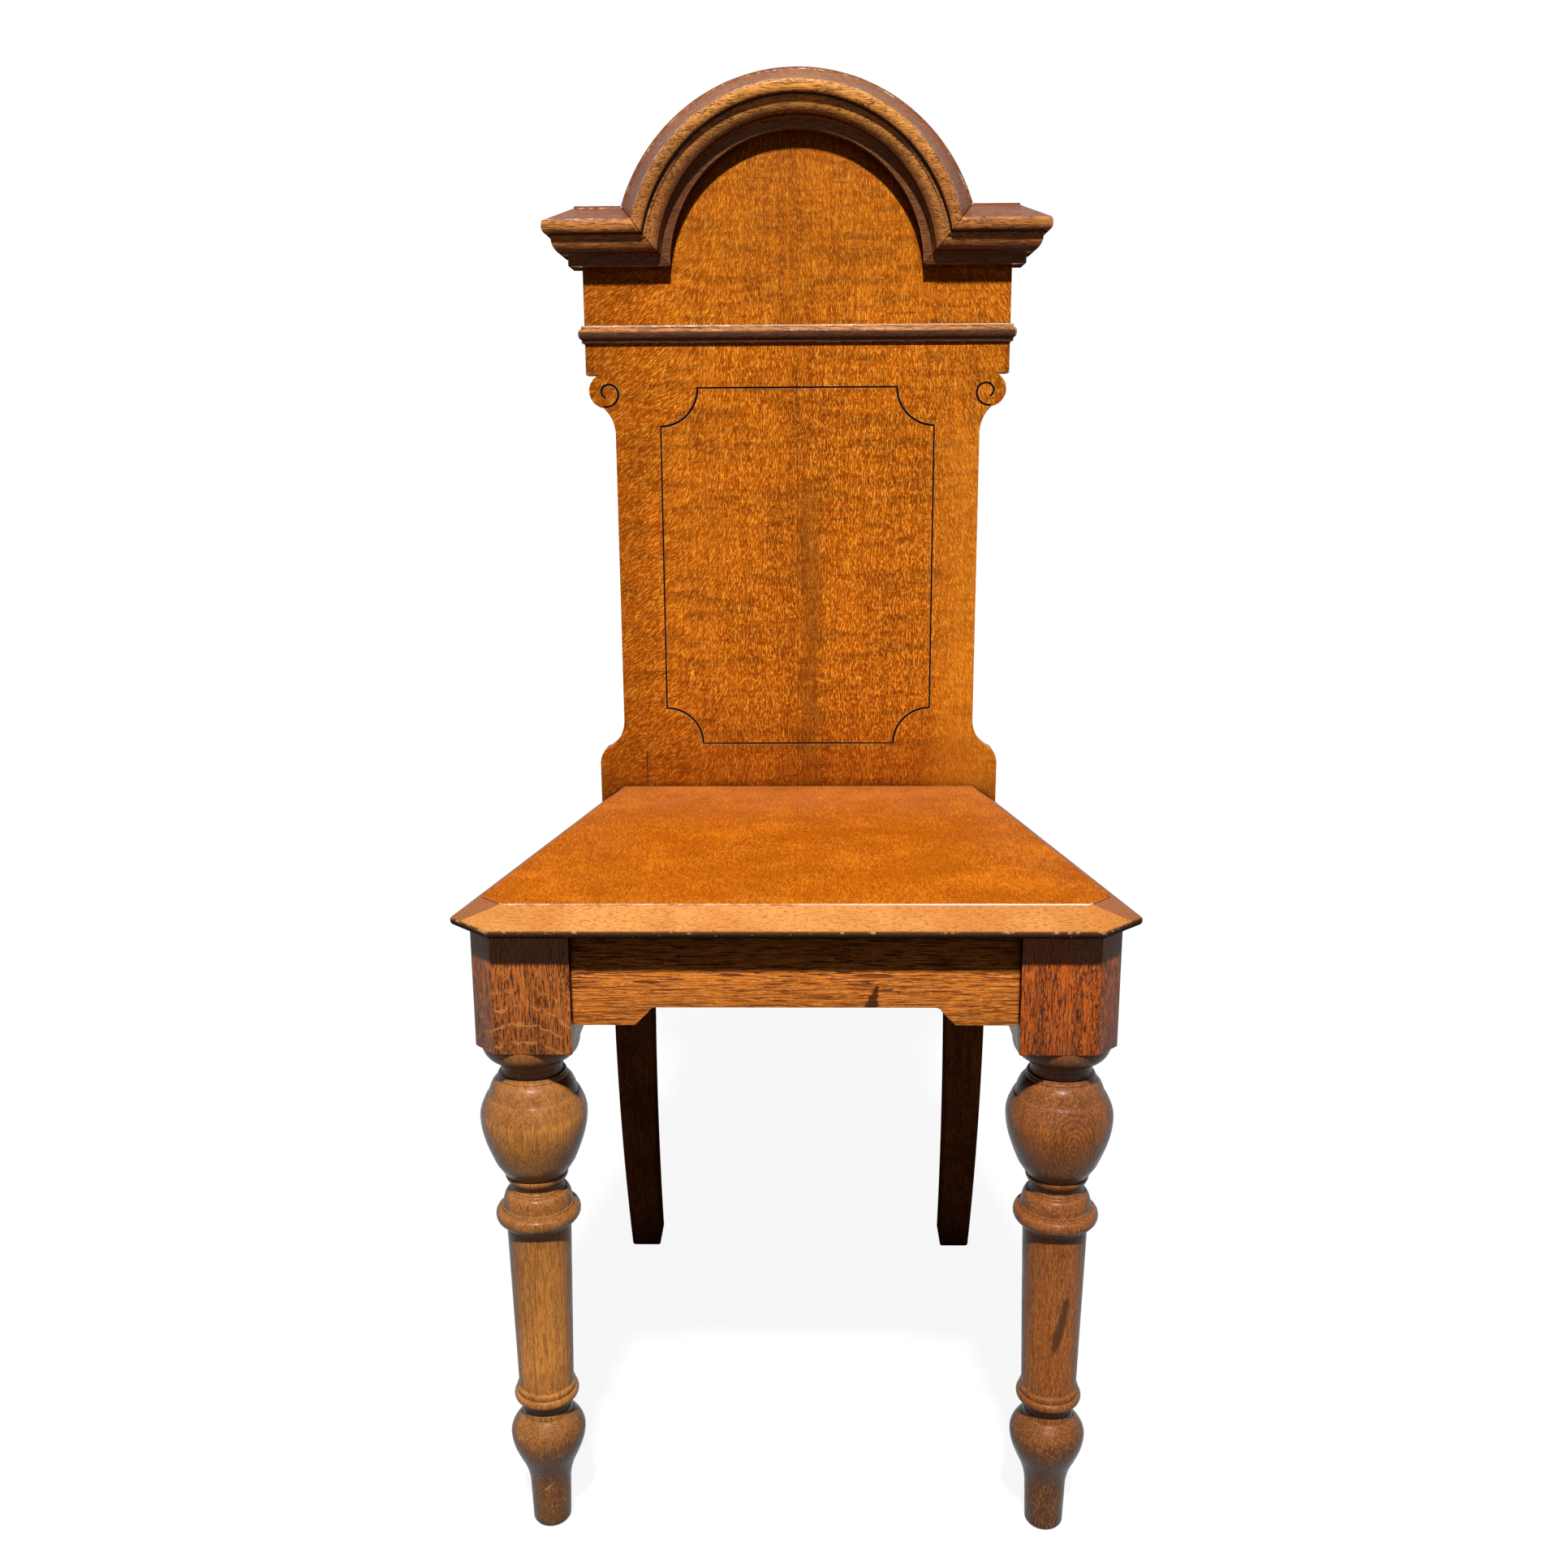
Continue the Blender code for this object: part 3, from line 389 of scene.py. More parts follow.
def copy_of(piece, name):
    take(piece)
    bpy.ops.object.duplicate()
    twin = bpy.context.object
    twin.name = name
    return twin


def other_side(piece, name):
    """A mirrored copy on the chair's left side."""
    twin = copy_of(piece, name)
    twin.scale.x = -1
    settle(twin)
    edit(twin)
    face_out()
    set_aside()
    return twin


def cut_with(piece, tool, operation="DIFFERENCE"):
    """The tool is cut from the piece, or joined to it, and is then gone."""
    take(piece)
    modifier = piece.modifiers.new("cut", "BOOLEAN")
    modifier.operation = operation
    modifier.solver = "EXACT"
    modifier.object = tool
    bpy.ops.object.modifier_apply(modifier=modifier.name)
    bpy.data.objects.remove(tool, do_unlink=True)


def arc(centre, radii, start, end, steps):
    """Points on a part of a circle or an ellipse, both ends included."""
    points = []
    for step in range(steps + 1):
        angle = start + (end - start) * step / steps
        points.append((centre[0] + radii[0] * math.cos(angle), centre[1] + radii[1] * math.sin(angle)))
    return points


def hand_over(piece, slot_name, material, *nodes):
    """The finished piece takes its material and stands for its CAD nodes."""
    piece.data.materials.clear()
    piece.data.materials.append(material)
    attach(piece, "root")
    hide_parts(*nodes)


# Seat


def make_seat():
    """Both boards are one slab until the end, when it is sawn down the middle."""
    top = SEAT_TOP - BEVEL_STEP
    nose = top - BEVEL_FALL
    seat = add_block("seat", (-SEAT_HALF, SEAT_FRONT, SEAT_UNDER), (SEAT_HALF, SEAT_REAR + RUN_SPARE, top))
    edit(seat)
    run = BACK_FACE - SEAT_FRONT - SEAT_CANT
    slope = (SEAT_HALF - SEAT_BACK_HALF) / run
    for side in (-1, 1):
        slice_off((side * SEAT_HALF, SEAT_FRONT + SEAT_CANT, SEAT_UNDER), (side, slope, 0.0))
        slice_off((side * SEAT_HALF, SEAT_FRONT + SEAT_CANT, SEAT_UNDER), (side, -1.0, 0.0))
    pick(seat, "faces", lambda face: face.normal.z > FACING_UP)
    bpy.ops.mesh.inset(thickness=BEVEL_WIDTH, use_even_offset=True)
    mesh = bmesh.from_edit_mesh(seat.data)
    flat = [face for face in mesh.faces if face.select][0]
    inner = {vert.index for vert in flat.verts}
    rims = [vert.index for vert in mesh.verts if vert.index not in inner and vert.co.z > top - GAP]
    pick(seat, "verts", lambda vert: vert.index in rims)
    bpy.ops.transform.translate(value=(0.0, 0.0, -BEVEL_FALL))
    pick(seat, "faces", lambda face: face.normal.z > LEVEL and face.calc_center_median().z > top - GAP)
    bpy.ops.mesh.extrude_region_move(TRANSFORM_OT_translate={"value": (0.0, 0.0, BEVEL_STEP)})

    def is_rim(edge, level):
        flat = all(abs(vert.co.z - level) < GAP for vert in edge.verts)
        return flat and edge.calc_face_angle(0.0) > RIM_ANGLE

    soften(seat, NOSE_ROUND, NOSE_STEPS, lambda edge: is_rim(edge, SEAT_UNDER))
    soften(seat, NOSE_EDGE, NOSE_EDGE_STEPS, lambda edge: is_rim(edge, nose))
    soften(seat, ARRIS, ARRIS_STEPS, lambda edge: is_rim(edge, SEAT_TOP))
    slice_off((0.0, SEAT_REAR, 0.0), (0.0, 1.0, 0.0))
    set_aside()
    boards = []
    for side in (-1, 1):
        piece = copy_of(seat, "seat_" + ("left" if side < 0 else "right"))
        edit(piece)
        slice_off((side * JOINT, 0.0, 0.0), (-side, 0.0, 0.0))
        face_out()
        boards.append(smooth(piece, SEAT_SMOOTH_ANGLE))
    bpy.data.objects.remove(seat, do_unlink=True)
    return boards


# Back


def foot_cove():
    """Centre of the hollow between foot ear and waist, and how far it swings."""
    nick_x = FOOT_HALF - FOOT_ROUND_WIDTH - FOOT_NICK
    nick_z = SEAT_UNDER + FOOT_SIDE_HEIGHT + FOOT_ROUND_HEIGHT + FOOT_NICK
    centre_x = WAIST_HALF + COVE_RADIUS
    swing = math.acos((centre_x - nick_x) / COVE_RADIUS)
    return (centre_x, nick_z + COVE_RADIUS * math.sin(swing)), swing


def back_outline():
    """The right half of the back, from the bottom of its tongue to its crown."""
    bottom = back_low.z
    foot_top = SEAT_UNDER + FOOT_SIDE_HEIGHT
    points = [(JOINT, bottom), (TONGUE_HALF, bottom), (TONGUE_HALF, SEAT_UNDER), (FOOT_HALF, SEAT_UNDER)]
    centre = (FOOT_HALF - FOOT_ROUND_WIDTH, foot_top)
    points.extend(arc(centre, (FOOT_ROUND_WIDTH, FOOT_ROUND_HEIGHT), 0.0, math.pi / 2, ARC_STEPS))
    centre, swing = foot_cove()
    radii = (COVE_RADIUS, COVE_RADIUS)
    points.extend(arc(centre, radii, math.pi + swing, math.pi, ARC_STEPS))
    scroll = (FRIEZE_HALF - SCROLL_INSET, FRIEZE_BOTTOM - SCROLL_DROP)
    nick_drop = math.sqrt(SCROLL_RADIUS ** 2 - (NICK_HALF - scroll[0]) ** 2)
    cove_x = WAIST_HALF + COVE_RADIUS
    swing = math.acos((cove_x - NICK_HALF) / COVE_RADIUS)
    centre = (cove_x, scroll[1] - nick_drop - COVE_RADIUS * math.sin(swing))
    points.extend(arc(centre, radii, math.pi, math.pi - swing, ARC_STEPS))
    start = -math.acos((NICK_HALF - scroll[0]) / SCROLL_RADIUS)
    end = math.asin(SCROLL_DROP / SCROLL_RADIUS)
    points.extend(arc(scroll, (SCROLL_RADIUS, SCROLL_RADIUS), start, end, 2 * ARC_STEPS)[1:])
    points.append((FRIEZE_HALF, FRIEZE_BOTTOM))
    ear_top = CORNICE_BOTTOM + CORNICE_HEIGHT - TOP_SETDOWN
    points.append((FRIEZE_HALF, ear_top))
    radius = ARCH_INNER + CORNICE_HEIGHT - TOP_SETDOWN
    start = math.asin((ear_top - CORNICE_BOTTOM) / radius)
    crown = arc((0.0, CORNICE_BOTTOM), (radius, radius), start, math.pi / 2, CROWN_STEPS)
    points.extend(crown[:-1])
    points.append((JOINT, CORNICE_BOTTOM + radius))
    return points


def line_cutter(name, path):
    """A round cutter along a path on the face of the back."""
    curve = bpy.data.curves.new(name, "CURVE")
    curve.dimensions = "3D"
    curve.bevel_depth = LINE_RADIUS
    curve.bevel_resolution = LINE_STEPS
    curve.use_fill_caps = True
    spline = curve.splines.new("POLY")
    spline.points.add(len(path) - 1)
    for point, (x, z) in zip(spline.points, path):
        point.co = (x, BACK_FACE - LINE_LIFT, z, 1.0)
    tool = bpy.data.objects.new(name, curve)
    bpy.context.scene.collection.objects.link(tool)
    take(tool)
    bpy.ops.object.convert(target="MESH")
    edit(tool)
    bpy.ops.mesh.select_all(action="SELECT")
    bpy.ops.mesh.remove_doubles(threshold=MERGE)
    face_out()
    set_aside()
    return tool


def panel_path():
    """The right half of the incised panel, with hollow corners."""
    radii = (PANEL_CORNER, PANEL_CORNER)
    path = [(-RUN_SPARE, PANEL_TOP)]
    path.extend(arc((PANEL_HALF, PANEL_TOP), radii, math.pi, math.pi * 1.5, 2 * ARC_STEPS))
    path.extend(arc((PANEL_HALF, PANEL_BOTTOM), radii, math.pi / 2, math.pi, 2 * ARC_STEPS))
    path.append((-RUN_SPARE, PANEL_BOTTOM))
    return path


def spiral_path():
    """The scroll's line, which winds in towards its centre."""
    path = []
    for step in range(SPIRAL_STEPS + 1):
        share = step / SPIRAL_STEPS
        angle = SPIRAL_START - SPIRAL_TURN * share
        radius = SPIRAL_START_RADIUS * (SPIRAL_END_RADIUS / SPIRAL_START_RADIUS) ** share
        x = SPIRAL_CENTRE[0] + radius * math.cos(angle)
        path.append((x, SPIRAL_CENTRE[1] + radius * math.sin(angle)))
    return path


def make_back():
    """One board with its incised lines; the other is its mirror image."""
    outline = [(x, BACK_FACE, z) for x, z in back_outline()]
    right = board("back_right", outline, (0.0, BACK_REAR - BACK_FACE, 0.0))

    def is_arris(edge):
        at_joint = all(vert.co.x < GAP for vert in edge.verts)
        flat = abs(edge.verts[0].co.y - edge.verts[1].co.y) < GAP
        return flat and not at_joint and edge.calc_face_angle(0.0) > BOARD_ANGLE

    soften(right, ARRIS, ARRIS_STEPS, is_arris)
    set_aside()
    for name, path in (("panel_line", panel_path()), ("scroll_line", spiral_path())):
        cut_with(right, line_cutter(name, path))
    edit(right)
    bpy.ops.mesh.select_all(action="SELECT")
    bpy.ops.mesh.fill_holes(sides=3)
    face_out()
    smooth(right)
    left = other_side(right, "back_left")
    return [smooth(left), right]


# Mouldings


def cornice_section():
    """(out, up) points round the cornice's section, the flat back included."""
    points = [(GAP, 0.0), (CORNICE_FILLET, 0.0), (CORNICE_FILLET, CORNICE_FILLET_HEIGHT)]
    width = CORNICE_OVOLO - CORNICE_OVOLO_START
    height = CORNICE_OVOLO_TOP - CORNICE_FILLET_HEIGHT
    centre = (CORNICE_OVOLO_START, CORNICE_OVOLO_TOP)
    points.extend(arc(centre, (width, height), -math.pi / 2, 0.0, SECTION_STEPS))
    points.append((CORNICE_SQUARE, CORNICE_OVOLO_TOP))
    points.append((CORNICE_SQUARE, CORNICE_SQUARE_TOP))
    middle = (CORNICE_SQUARE_TOP + CORNICE_ROLL_TOP) / 2
    half = (CORNICE_ROLL_TOP - CORNICE_SQUARE_TOP) / 2
    swell = CORNICE_ROLL - CORNICE_ROLL_START
    points.extend(arc((CORNICE_ROLL_START, middle), (swell, half), -math.pi / 2, 0.0, SECTION_STEPS))
    swell = CORNICE_ROLL - CORNICE_ROLL_END
    points.extend(arc((CORNICE_ROLL_END, middle), (swell, half), 0.0, math.pi / 2, SECTION_STEPS)[1:])
    points.append((CORNICE_LIP, CORNICE_LIP_BOTTOM))
    points.append((CORNICE_LIP, CORNICE_HEIGHT))
    points.append((GAP, CORNICE_HEIGHT))
    return points


def string_section():
    """(out, up) points of the thin moulding: a bead between two fillets."""
    height = string_high.z - string_low.z
    bead = height / 2 - STRING_FILLET_HEIGHT
    points = [(GAP, 0.0), (STRING_FILLET, 0.0), (STRING_FILLET, STRING_FILLET_HEIGHT)]
    radii = (STRING_BEAD - STRING_FILLET, bead)
    bow = arc((STRING_FILLET, height / 2), radii, -math.pi / 2, math.pi / 2, 2 * SECTION_STEPS)
    points.extend(bow[1:-1])
    points.append((STRING_FILLET, height - STRING_FILLET_HEIGHT))
    points.append((STRING_FILLET, height))
    points.append((GAP, height))
    return points


def is_corner(vert):
    """True where two edges of a drawn section meet at a marked angle."""
    if len(vert.link_edges) != 2:
        return False
    before, after = [edge.other_vert(vert).co - vert.co for edge in vert.link_edges]
    return math.pi - before.angle(after) > CORNER_ANGLE


def draw_section(name, points, reach):
    """A closed section, its front corners rubbed a little round."""
    piece = draw(name, points)
    close_chain(piece)
    pick(piece, "verts", lambda vert: is_corner(vert) and vert.co.y < reach)
    bpy.ops.mesh.bevel(offset=MOULDING_ROUND, segments=2, affect="VERTICES", clamp_overlap=True)
    return piece


def make_arch():
    """The section is spun half round, and both ends are then eased to the mitre with the ears."""
    points = [(ARCH_INNER + up, BACK_FACE - out, CORNICE_BOTTOM) for out, up in cornice_section()]
    arch = draw_section("cornice_arch_run", points, BACK_FACE - 2 * GAP)
    bpy.ops.mesh.select_all(action="SELECT")
    centre = (0.0, BACK_FACE, CORNICE_BOTTOM)
    bpy.ops.mesh.spin(steps=ARCH_STEPS, angle=math.pi, center=centre, axis=(0.0, 1.0, 0.0))
    for side in (1, -1):
        pick(arch, "edges", lambda edge: edge.is_boundary and side * middle_of(edge).x > 0)
        bpy.ops.mesh.edge_face_add()
    mesh = bmesh.from_edit_mesh(arch.data)
    for vert in mesh.verts:
        x = vert.co.x
        z = vert.co.z - CORNICE_BOTTOM
        radius = math.hypot(x, z)
        up = max(radius - ARCH_INNER, 0.0)
        share = math.atan2(max(z, 0.0), x) / math.pi
        spring = math.asin(up / radius) + GAP / radius
        angle = spring + (math.pi - 2 * spring) * share
        vert.co.x = radius * math.cos(angle)
        vert.co.z = CORNICE_BOTTOM + radius * math.sin(angle)
    bmesh.update_edit_mesh(arch.data)
    face_out()
    return smooth(arch)


def make_ear():
    """Run from the mitre with the arch to the corner, where it is sawn at 45 degrees."""
    points = []
    for out, up in cornice_section():
        x = math.sqrt((ARCH_INNER + up) ** 2 - up ** 2) + GAP
        points.append((x, BACK_FACE - out, CORNICE_BOTTOM + up))
    ear = draw_section("cornice_right", points, BACK_FACE - 2 * GAP)
    bpy.ops.mesh.select_all(action="SELECT")
    bpy.ops.mesh.edge_face_add()
    run = FRIEZE_HALF - ARCH_INNER + RUN_SPARE
    bpy.ops.mesh.extrude_region_move(TRANSFORM_OT_translate={"value": (run, 0.0, 0.0)})
    face_out()
    slice_off((FRIEZE_HALF - GAP, BACK_FACE, 0.0), (1.0, 1.0, 0.0))
    face_out()
    return smooth(ear)


def make_return(name, section, bottom):
    """A moulding along the side of the back, sawn at 45 degrees at the front."""
    points = [(FRIEZE_HALF + out, BACK_REAR, bottom + up) for out, up in section]
    piece = draw_section(name, points, BACK_REAR + RUN_SPARE)
    bpy.ops.mesh.select_all(action="SELECT")
    bpy.ops.mesh.edge_face_add()
    run = BACK_REAR - BACK_FACE + RUN_SPARE
    bpy.ops.mesh.extrude_region_move(TRANSFORM_OT_translate={"value": (0.0, -run, 0.0)})
    face_out()
    slice_off((FRIEZE_HALF, BACK_FACE, 0.0), (-1.0, -1.0, 0.0))
    face_out()
    return smooth(piece)


def make_string():
    """Run right across the back, and mitred at both ends."""
    start = FRIEZE_HALF + RUN_SPARE
    bottom = string_low.z
    points = [(-start, BACK_FACE - out, bottom + up) for out, up in string_section()]
    piece = draw_section("string_run", points, BACK_FACE - 2 * GAP)
    bpy.ops.mesh.select_all(action="SELECT")
    bpy.ops.mesh.edge_face_add()
    bpy.ops.mesh.extrude_region_move(TRANSFORM_OT_translate={"value": (2 * start, 0.0, 0.0)})
    face_out()
    for side in (-1, 1):
        slice_off((side * (FRIEZE_HALF - 2 * GAP), BACK_FACE, 0.0), (side, 1.0, 0.0))
    face_out()
    return smooth(piece)


# Front legs


def form_point(form, share):
    """Shares of the rise and of the change in radius, along a row of the turning."""
    turn = math.pi / 2 * share
    if form == "swell":
        return share, math.sin(turn)
    if form == "shrink":
        return share, 1 - math.cos(turn)
    if form == "round":
        return 1 - math.cos(turn), math.sin(turn)
    if form == "dome":
        return math.sin(turn), 1 - math.cos(turn)
    if form == "hollow":
        return share, share ** 2
    return (1 - math.cos(2 * turn)) / 2, share


def turned_outline():
    """The turning's (radius, height) points, from the middle of its foot to the block."""
    points = [(0.0, 0.0)]
    radius = 0.0
    height = 0.0
    for form, height_share, radius_share in TURNING_SHARES:
        rise = height_share * TURNED_LENGTH - height
        change = radius_share * TURNING_RADIUS - radius
        if form == "line":
            points.append((radius + change, height + rise))
        else:
            for step in range(1, CURVE_STEPS + 1):
                share = step / CURVE_STEPS
                along, out = form_point(form, share)
                swell = BEAD_SWELL_SHARE * rise * math.sin(math.pi * share) if form == "bead" else 0.0
                points.append((radius + change * out + swell, height + rise * along))
        radius += change
        height += rise
    points.append((radius, height + TURNING_SINK))
    points.append((0.0, height + TURNING_SINK))
    return points


def make_turning():
    """The outline, its corners eased, spun round the leg's middle."""
    points = [(LEG_X + radius, LEG_Y, height) for radius, height in turned_outline()]
    turning = draw("turning", points)
    pick(turning, "verts", is_corner)
    bpy.ops.mesh.bevel(offset=RING_ROUND, segments=2, affect="VERTICES", clamp_overlap=True)
    bpy.ops.mesh.select_all(action="SELECT")
    foot = (LEG_X, LEG_Y, 0.0)
    bpy.ops.mesh.spin(steps=TURNING_STEPS, angle=math.tau, center=foot, axis=(0.0, 0.0, 1.0))
    bpy.ops.mesh.select_all(action="SELECT")
    bpy.ops.mesh.remove_doubles(threshold=MERGE)
    face_out()
    return turning


def make_front_leg():
    """A block with a canted outer corner, joined to its turning."""
    bottom = SEAT_UNDER - BLOCK_HEIGHT
    low = (LEG_X - BLOCK_HALF, LEG_Y - BLOCK_HALF, bottom)
    leg = add_block("leg_right", low, (LEG_X + BLOCK_HALF, LEG_Y + BLOCK_HALF, RAIL_TOP))
    edit(leg)

    def outer_front(edge):
        middle = middle_of(edge)
        upright = abs(edge.verts[0].co.z - edge.verts[1].co.z) > BLOCK_HALF
        return upright and middle.x > LEG_X and middle.y < LEG_Y

    soften(leg, BLOCK_CANT, 1, outer_front)
    soften(leg, ARRIS, LEG_ARRIS_STEPS, sharp(LEG_ANGLE))
    set_aside()
    turning = make_turning()
    cut_with(leg, turning, "UNION")
    smooth(leg)
    left = other_side(leg, "leg_left")
    return [smooth(left), leg]


# Rails


def make_front_rail():
    """A board with its lower edge cut away between two hollowed slopes."""
    end = LEG_X - BLOCK_HALF - GAP
    bottom = SEAT_UNDER - RAIL_HEIGHT
    level = bottom + SCOOP_RISE
    shoulder = SCOOP_HALF + SCOOP_COVE + SCOOP_SLOPE
    right = [(end, RAIL_TOP), (end, bottom), (shoulder, bottom)]
    right.append((shoulder - SCOOP_SLOPE, bottom + SCOOP_SLOPE))
    rest = SCOOP_RISE - SCOOP_SLOPE
    right.extend(arc((SCOOP_HALF, level - rest), (SCOOP_COVE, rest), 0.0, math.pi / 2, ARC_STEPS)[1:])
    outline = right + [(-x, z) for x, z in reversed(right)]
    front = LEG_Y - BLOCK_HALF + RAIL_SETBACK
    points = [(x, front, z) for x, z in outline]
    rail = board("rail_front", points, (0.0, RAIL_THICKNESS, 0.0))
    soften(rail, ARRIS, ARRIS_STEPS, sharp(BOARD_ANGLE))
    return smooth(rail)


def make_side_rail():
    """A board that follows the seat's side, from the front leg to the rear one."""
    front = (LEG_X + BLOCK_HALF - RAIL_SETBACK, LEG_Y + BLOCK_HALF)
    rear = (REAR_AXIS + REAR_WIDTH / 2 - SIDE_RAIL_INSET, BACK_FACE + REAR_SETBACK)
    slope = (rear[0] - front[0]) / (rear[1] - front[1])
    thick = RAIL_THICKNESS * math.hypot(1.0, slope)
    bottom = SEAT_UNDER - RAIL_HEIGHT
    near, far = front[1] + GAP, rear[1] - GAP
    outline = []
    for y, inward in ((near, 0.0), (far, 0.0), (far, thick), (near, thick)):
        outline.append((front[0] + slope * (y - front[1]) - inward, y, bottom))
    rail = board("rail_right", outline, (0.0, 0.0, RAIL_TOP - bottom))
    soften(rail, ARRIS, ARRIS_STEPS, sharp(BOARD_ANGLE))
    smooth(rail)
    left = other_side(rail, "rail_left")
    return [smooth(left), rail]


def make_back_rail():
    end = REAR_AXIS - REAR_WIDTH / 2 - GAP
    front = BACK_REAR + GAP
    low = (-end, front, SEAT_UNDER - RAIL_HEIGHT)
    rail = add_block("rail_back", low, (end, front + BACK_RAIL_THICKNESS, RAIL_TOP))
    edit(rail)
    soften(rail, ARRIS, ARRIS_STEPS, sharp(BOARD_ANGLE))
    return smooth(rail)


# Rear legs


def rake(z):
    """How far the rear leg is swept back at a height."""
    if z >= RAKE_TOP:
        return 0.0
    return RAKE_SWEEP * ((RAKE_TOP - z) / RAKE_TOP) ** RAKE_POWER


def upright_depth(z):
    """The upright's depth behind the back at a height."""
    share = (z - RAIL_TOP) / (UPRIGHT_TOP - RAIL_TOP)
    start = REAR_SETBACK + REAR_DEPTH - (BACK_REAR - BACK_FACE) - GAP
    return start + (UPRIGHT_TOP_DEPTH - start) * share


def upright_levels():
    """Inner x, outer x, rear y and z of the upright, from the seat rail up."""
    cove_centre = foot_cove()[0]
    cove_x = UPRIGHT_OUTER + COVE_RADIUS
    cove_top = cove_centre[1] - UPRIGHT_COVE_DROP
    outer_foot = REAR_AXIS + REAR_WIDTH / 2
    cove_swing = math.acos((cove_x - outer_foot) / COVE_RADIUS)
    shoulder_top = RAIL_TOP + UPRIGHT_SHOULDER
    heights = [shoulder_top, UPRIGHT_TOP]
    for step in range(ARC_STEPS + 1):
        heights.append(cove_top - COVE_RADIUS * math.sin(cove_swing * step / ARC_STEPS))
    rows = []
    for z in sorted(heights):
        share = min((z - RAIL_TOP) / UPRIGHT_SHOULDER, 1.0)
        inner_foot = REAR_AXIS - REAR_WIDTH / 2
        inner = inner_foot + (UPRIGHT_OUTER - UPRIGHT_WIDTH - inner_foot) * share
        drop = min(max(cove_top - z, 0.0), COVE_RADIUS * math.sin(cove_swing))
        outer = cove_x - math.sqrt(COVE_RADIUS ** 2 - drop ** 2)
        rows.append((inner, outer, BACK_REAR + GAP + upright_depth(z), z))
    return rows


def make_rear_leg():
    """A foot drawn as a plane, extruded up its curve, then on up as a thinner upright."""
    foot_y = BACK_FACE + REAR_SETBACK + REAR_DEPTH / 2
    set_aside()
    bpy.ops.mesh.primitive_plane_add(size=1.0, location=(REAR_AXIS, foot_y + rake(0.0), 0.0))
    leg = bpy.context.object
    leg.name = "rear_right"
    leg.scale = (REAR_FOOT_WIDTH, REAR_DEPTH, 1.0)
    settle(leg)
    edit(leg)
    bpy.ops.mesh.select_all(action="SELECT")
    width = REAR_FOOT_WIDTH
    height = 0.0
    levels = [RAKE_TOP * step / RAKE_STEPS for step in range(1, RAKE_STEPS + 1)]
    for z in levels + [RAIL_TOP]:
        move = (0.0, rake(z) - rake(height), z - height)
        bpy.ops.mesh.extrude_region_move(TRANSFORM_OT_translate={"value": move})
        wider = REAR_FOOT_WIDTH + (REAR_WIDTH - REAR_FOOT_WIDTH) * min(z / RAKE_TOP, 1.0)
        centre = (REAR_AXIS, foot_y, z)
        bpy.ops.transform.resize(value=(wider / width, 1.0, 1.0), center_override=centre)
        width = wider
        height = z
    front = BACK_REAR + GAP
    bpy.ops.mesh.select_all(action="SELECT")
    bpy.ops.mesh.bisect(plane_co=(0.0, front, 0.0), plane_no=(0.0, 1.0, 0.0))
    pick(leg, "faces", lambda face: face.normal.z > FACING_UP and face.calc_center_median().y > front)
    inner = REAR_AXIS - REAR_WIDTH / 2
    outer = REAR_AXIS + REAR_WIDTH / 2
    rear = BACK_FACE + REAR_SETBACK + REAR_DEPTH
    for new_inner, new_outer, new_rear, z in upright_levels():
        bpy.ops.mesh.extrude_region_move(TRANSFORM_OT_translate={"value": (0.0, 0.0, z - height)})
        scale = ((new_outer - new_inner) / (outer - inner), (new_rear - front) / (rear - front), 1.0)
        bpy.ops.transform.resize(value=scale, center_override=(inner, front, z))
        bpy.ops.transform.translate(value=(new_inner - inner, 0.0, 0.0))
        inner, outer, rear, height = new_inner, new_outer, new_rear, z
    face_out()
    bpy.ops.mesh.select_all(action="SELECT")
    bpy.ops.mesh.dissolve_limited(angle_limit=STRAIGHT_ANGLE)
    soften(leg, FOOT_ROUND, FOOT_STEPS, lambda edge: middle_of(edge).z < GAP)
    soften(leg, REAR_ROUND, ARRIS_STEPS, sharp(REAR_ANGLE))
    return smooth(leg)


# Screws and glue blocks


def make_screw(name, node):
    """A countersunk head with a slot, seen end on from behind."""
    low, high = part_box(node)
    middle = (low + high) / 2
    set_aside()
    bpy.ops.mesh.primitive_cone_add(
        vertices=SCREW_SIDES,
        radius1=SCREW_HEAD,
        radius2=SCREW_HEAD / 2,
        depth=2 * SCREW_DEEP,
        location=(middle.x, high.y - SCREW_DEEP, middle.z),
        rotation=(math.pi / 2, 0.0, 0.0),
    )
    piece = bpy.context.object
    piece.name = name
    settle(piece)
    edit(piece)
    soften(piece, ARRIS / 4, ARRIS_STEPS, sharp(SMALL_ANGLE))
    set_aside()
    turn = SLOT_TURN * (middle.x + 3 * middle.z) / SCREW_HEAD
    place = (middle.x, high.y, middle.z)
    bpy.ops.mesh.primitive_cube_add(size=1.0, location=place, rotation=(0.0, turn, 0.0))
    slot = bpy.context.object
    slot.scale = (3 * SCREW_HEAD, 2 * SLOT_DEPTH, SLOT_WIDTH)
    settle(slot)
    cut_with(piece, slot)
    return smooth(piece)


def countersink(piece, nodes):
    """Shallow round holes for the screws' heads."""
    for node in nodes:
        low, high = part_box(node)
        middle = (low + high) / 2
        set_aside()
        bpy.ops.mesh.primitive_cone_add(
            vertices=SCREW_SIDES,
            radius1=SCREW_HEAD + GAP,
            radius2=SCREW_HEAD / 2 + GAP,
            depth=2 * SCREW_DEEP + 4 * GAP,
            location=(middle.x, high.y - SCREW_DEEP, middle.z),
            rotation=(math.pi / 2, 0.0, 0.0),
        )
        tool = settle(bpy.context.object)
        cut_with(piece, tool)


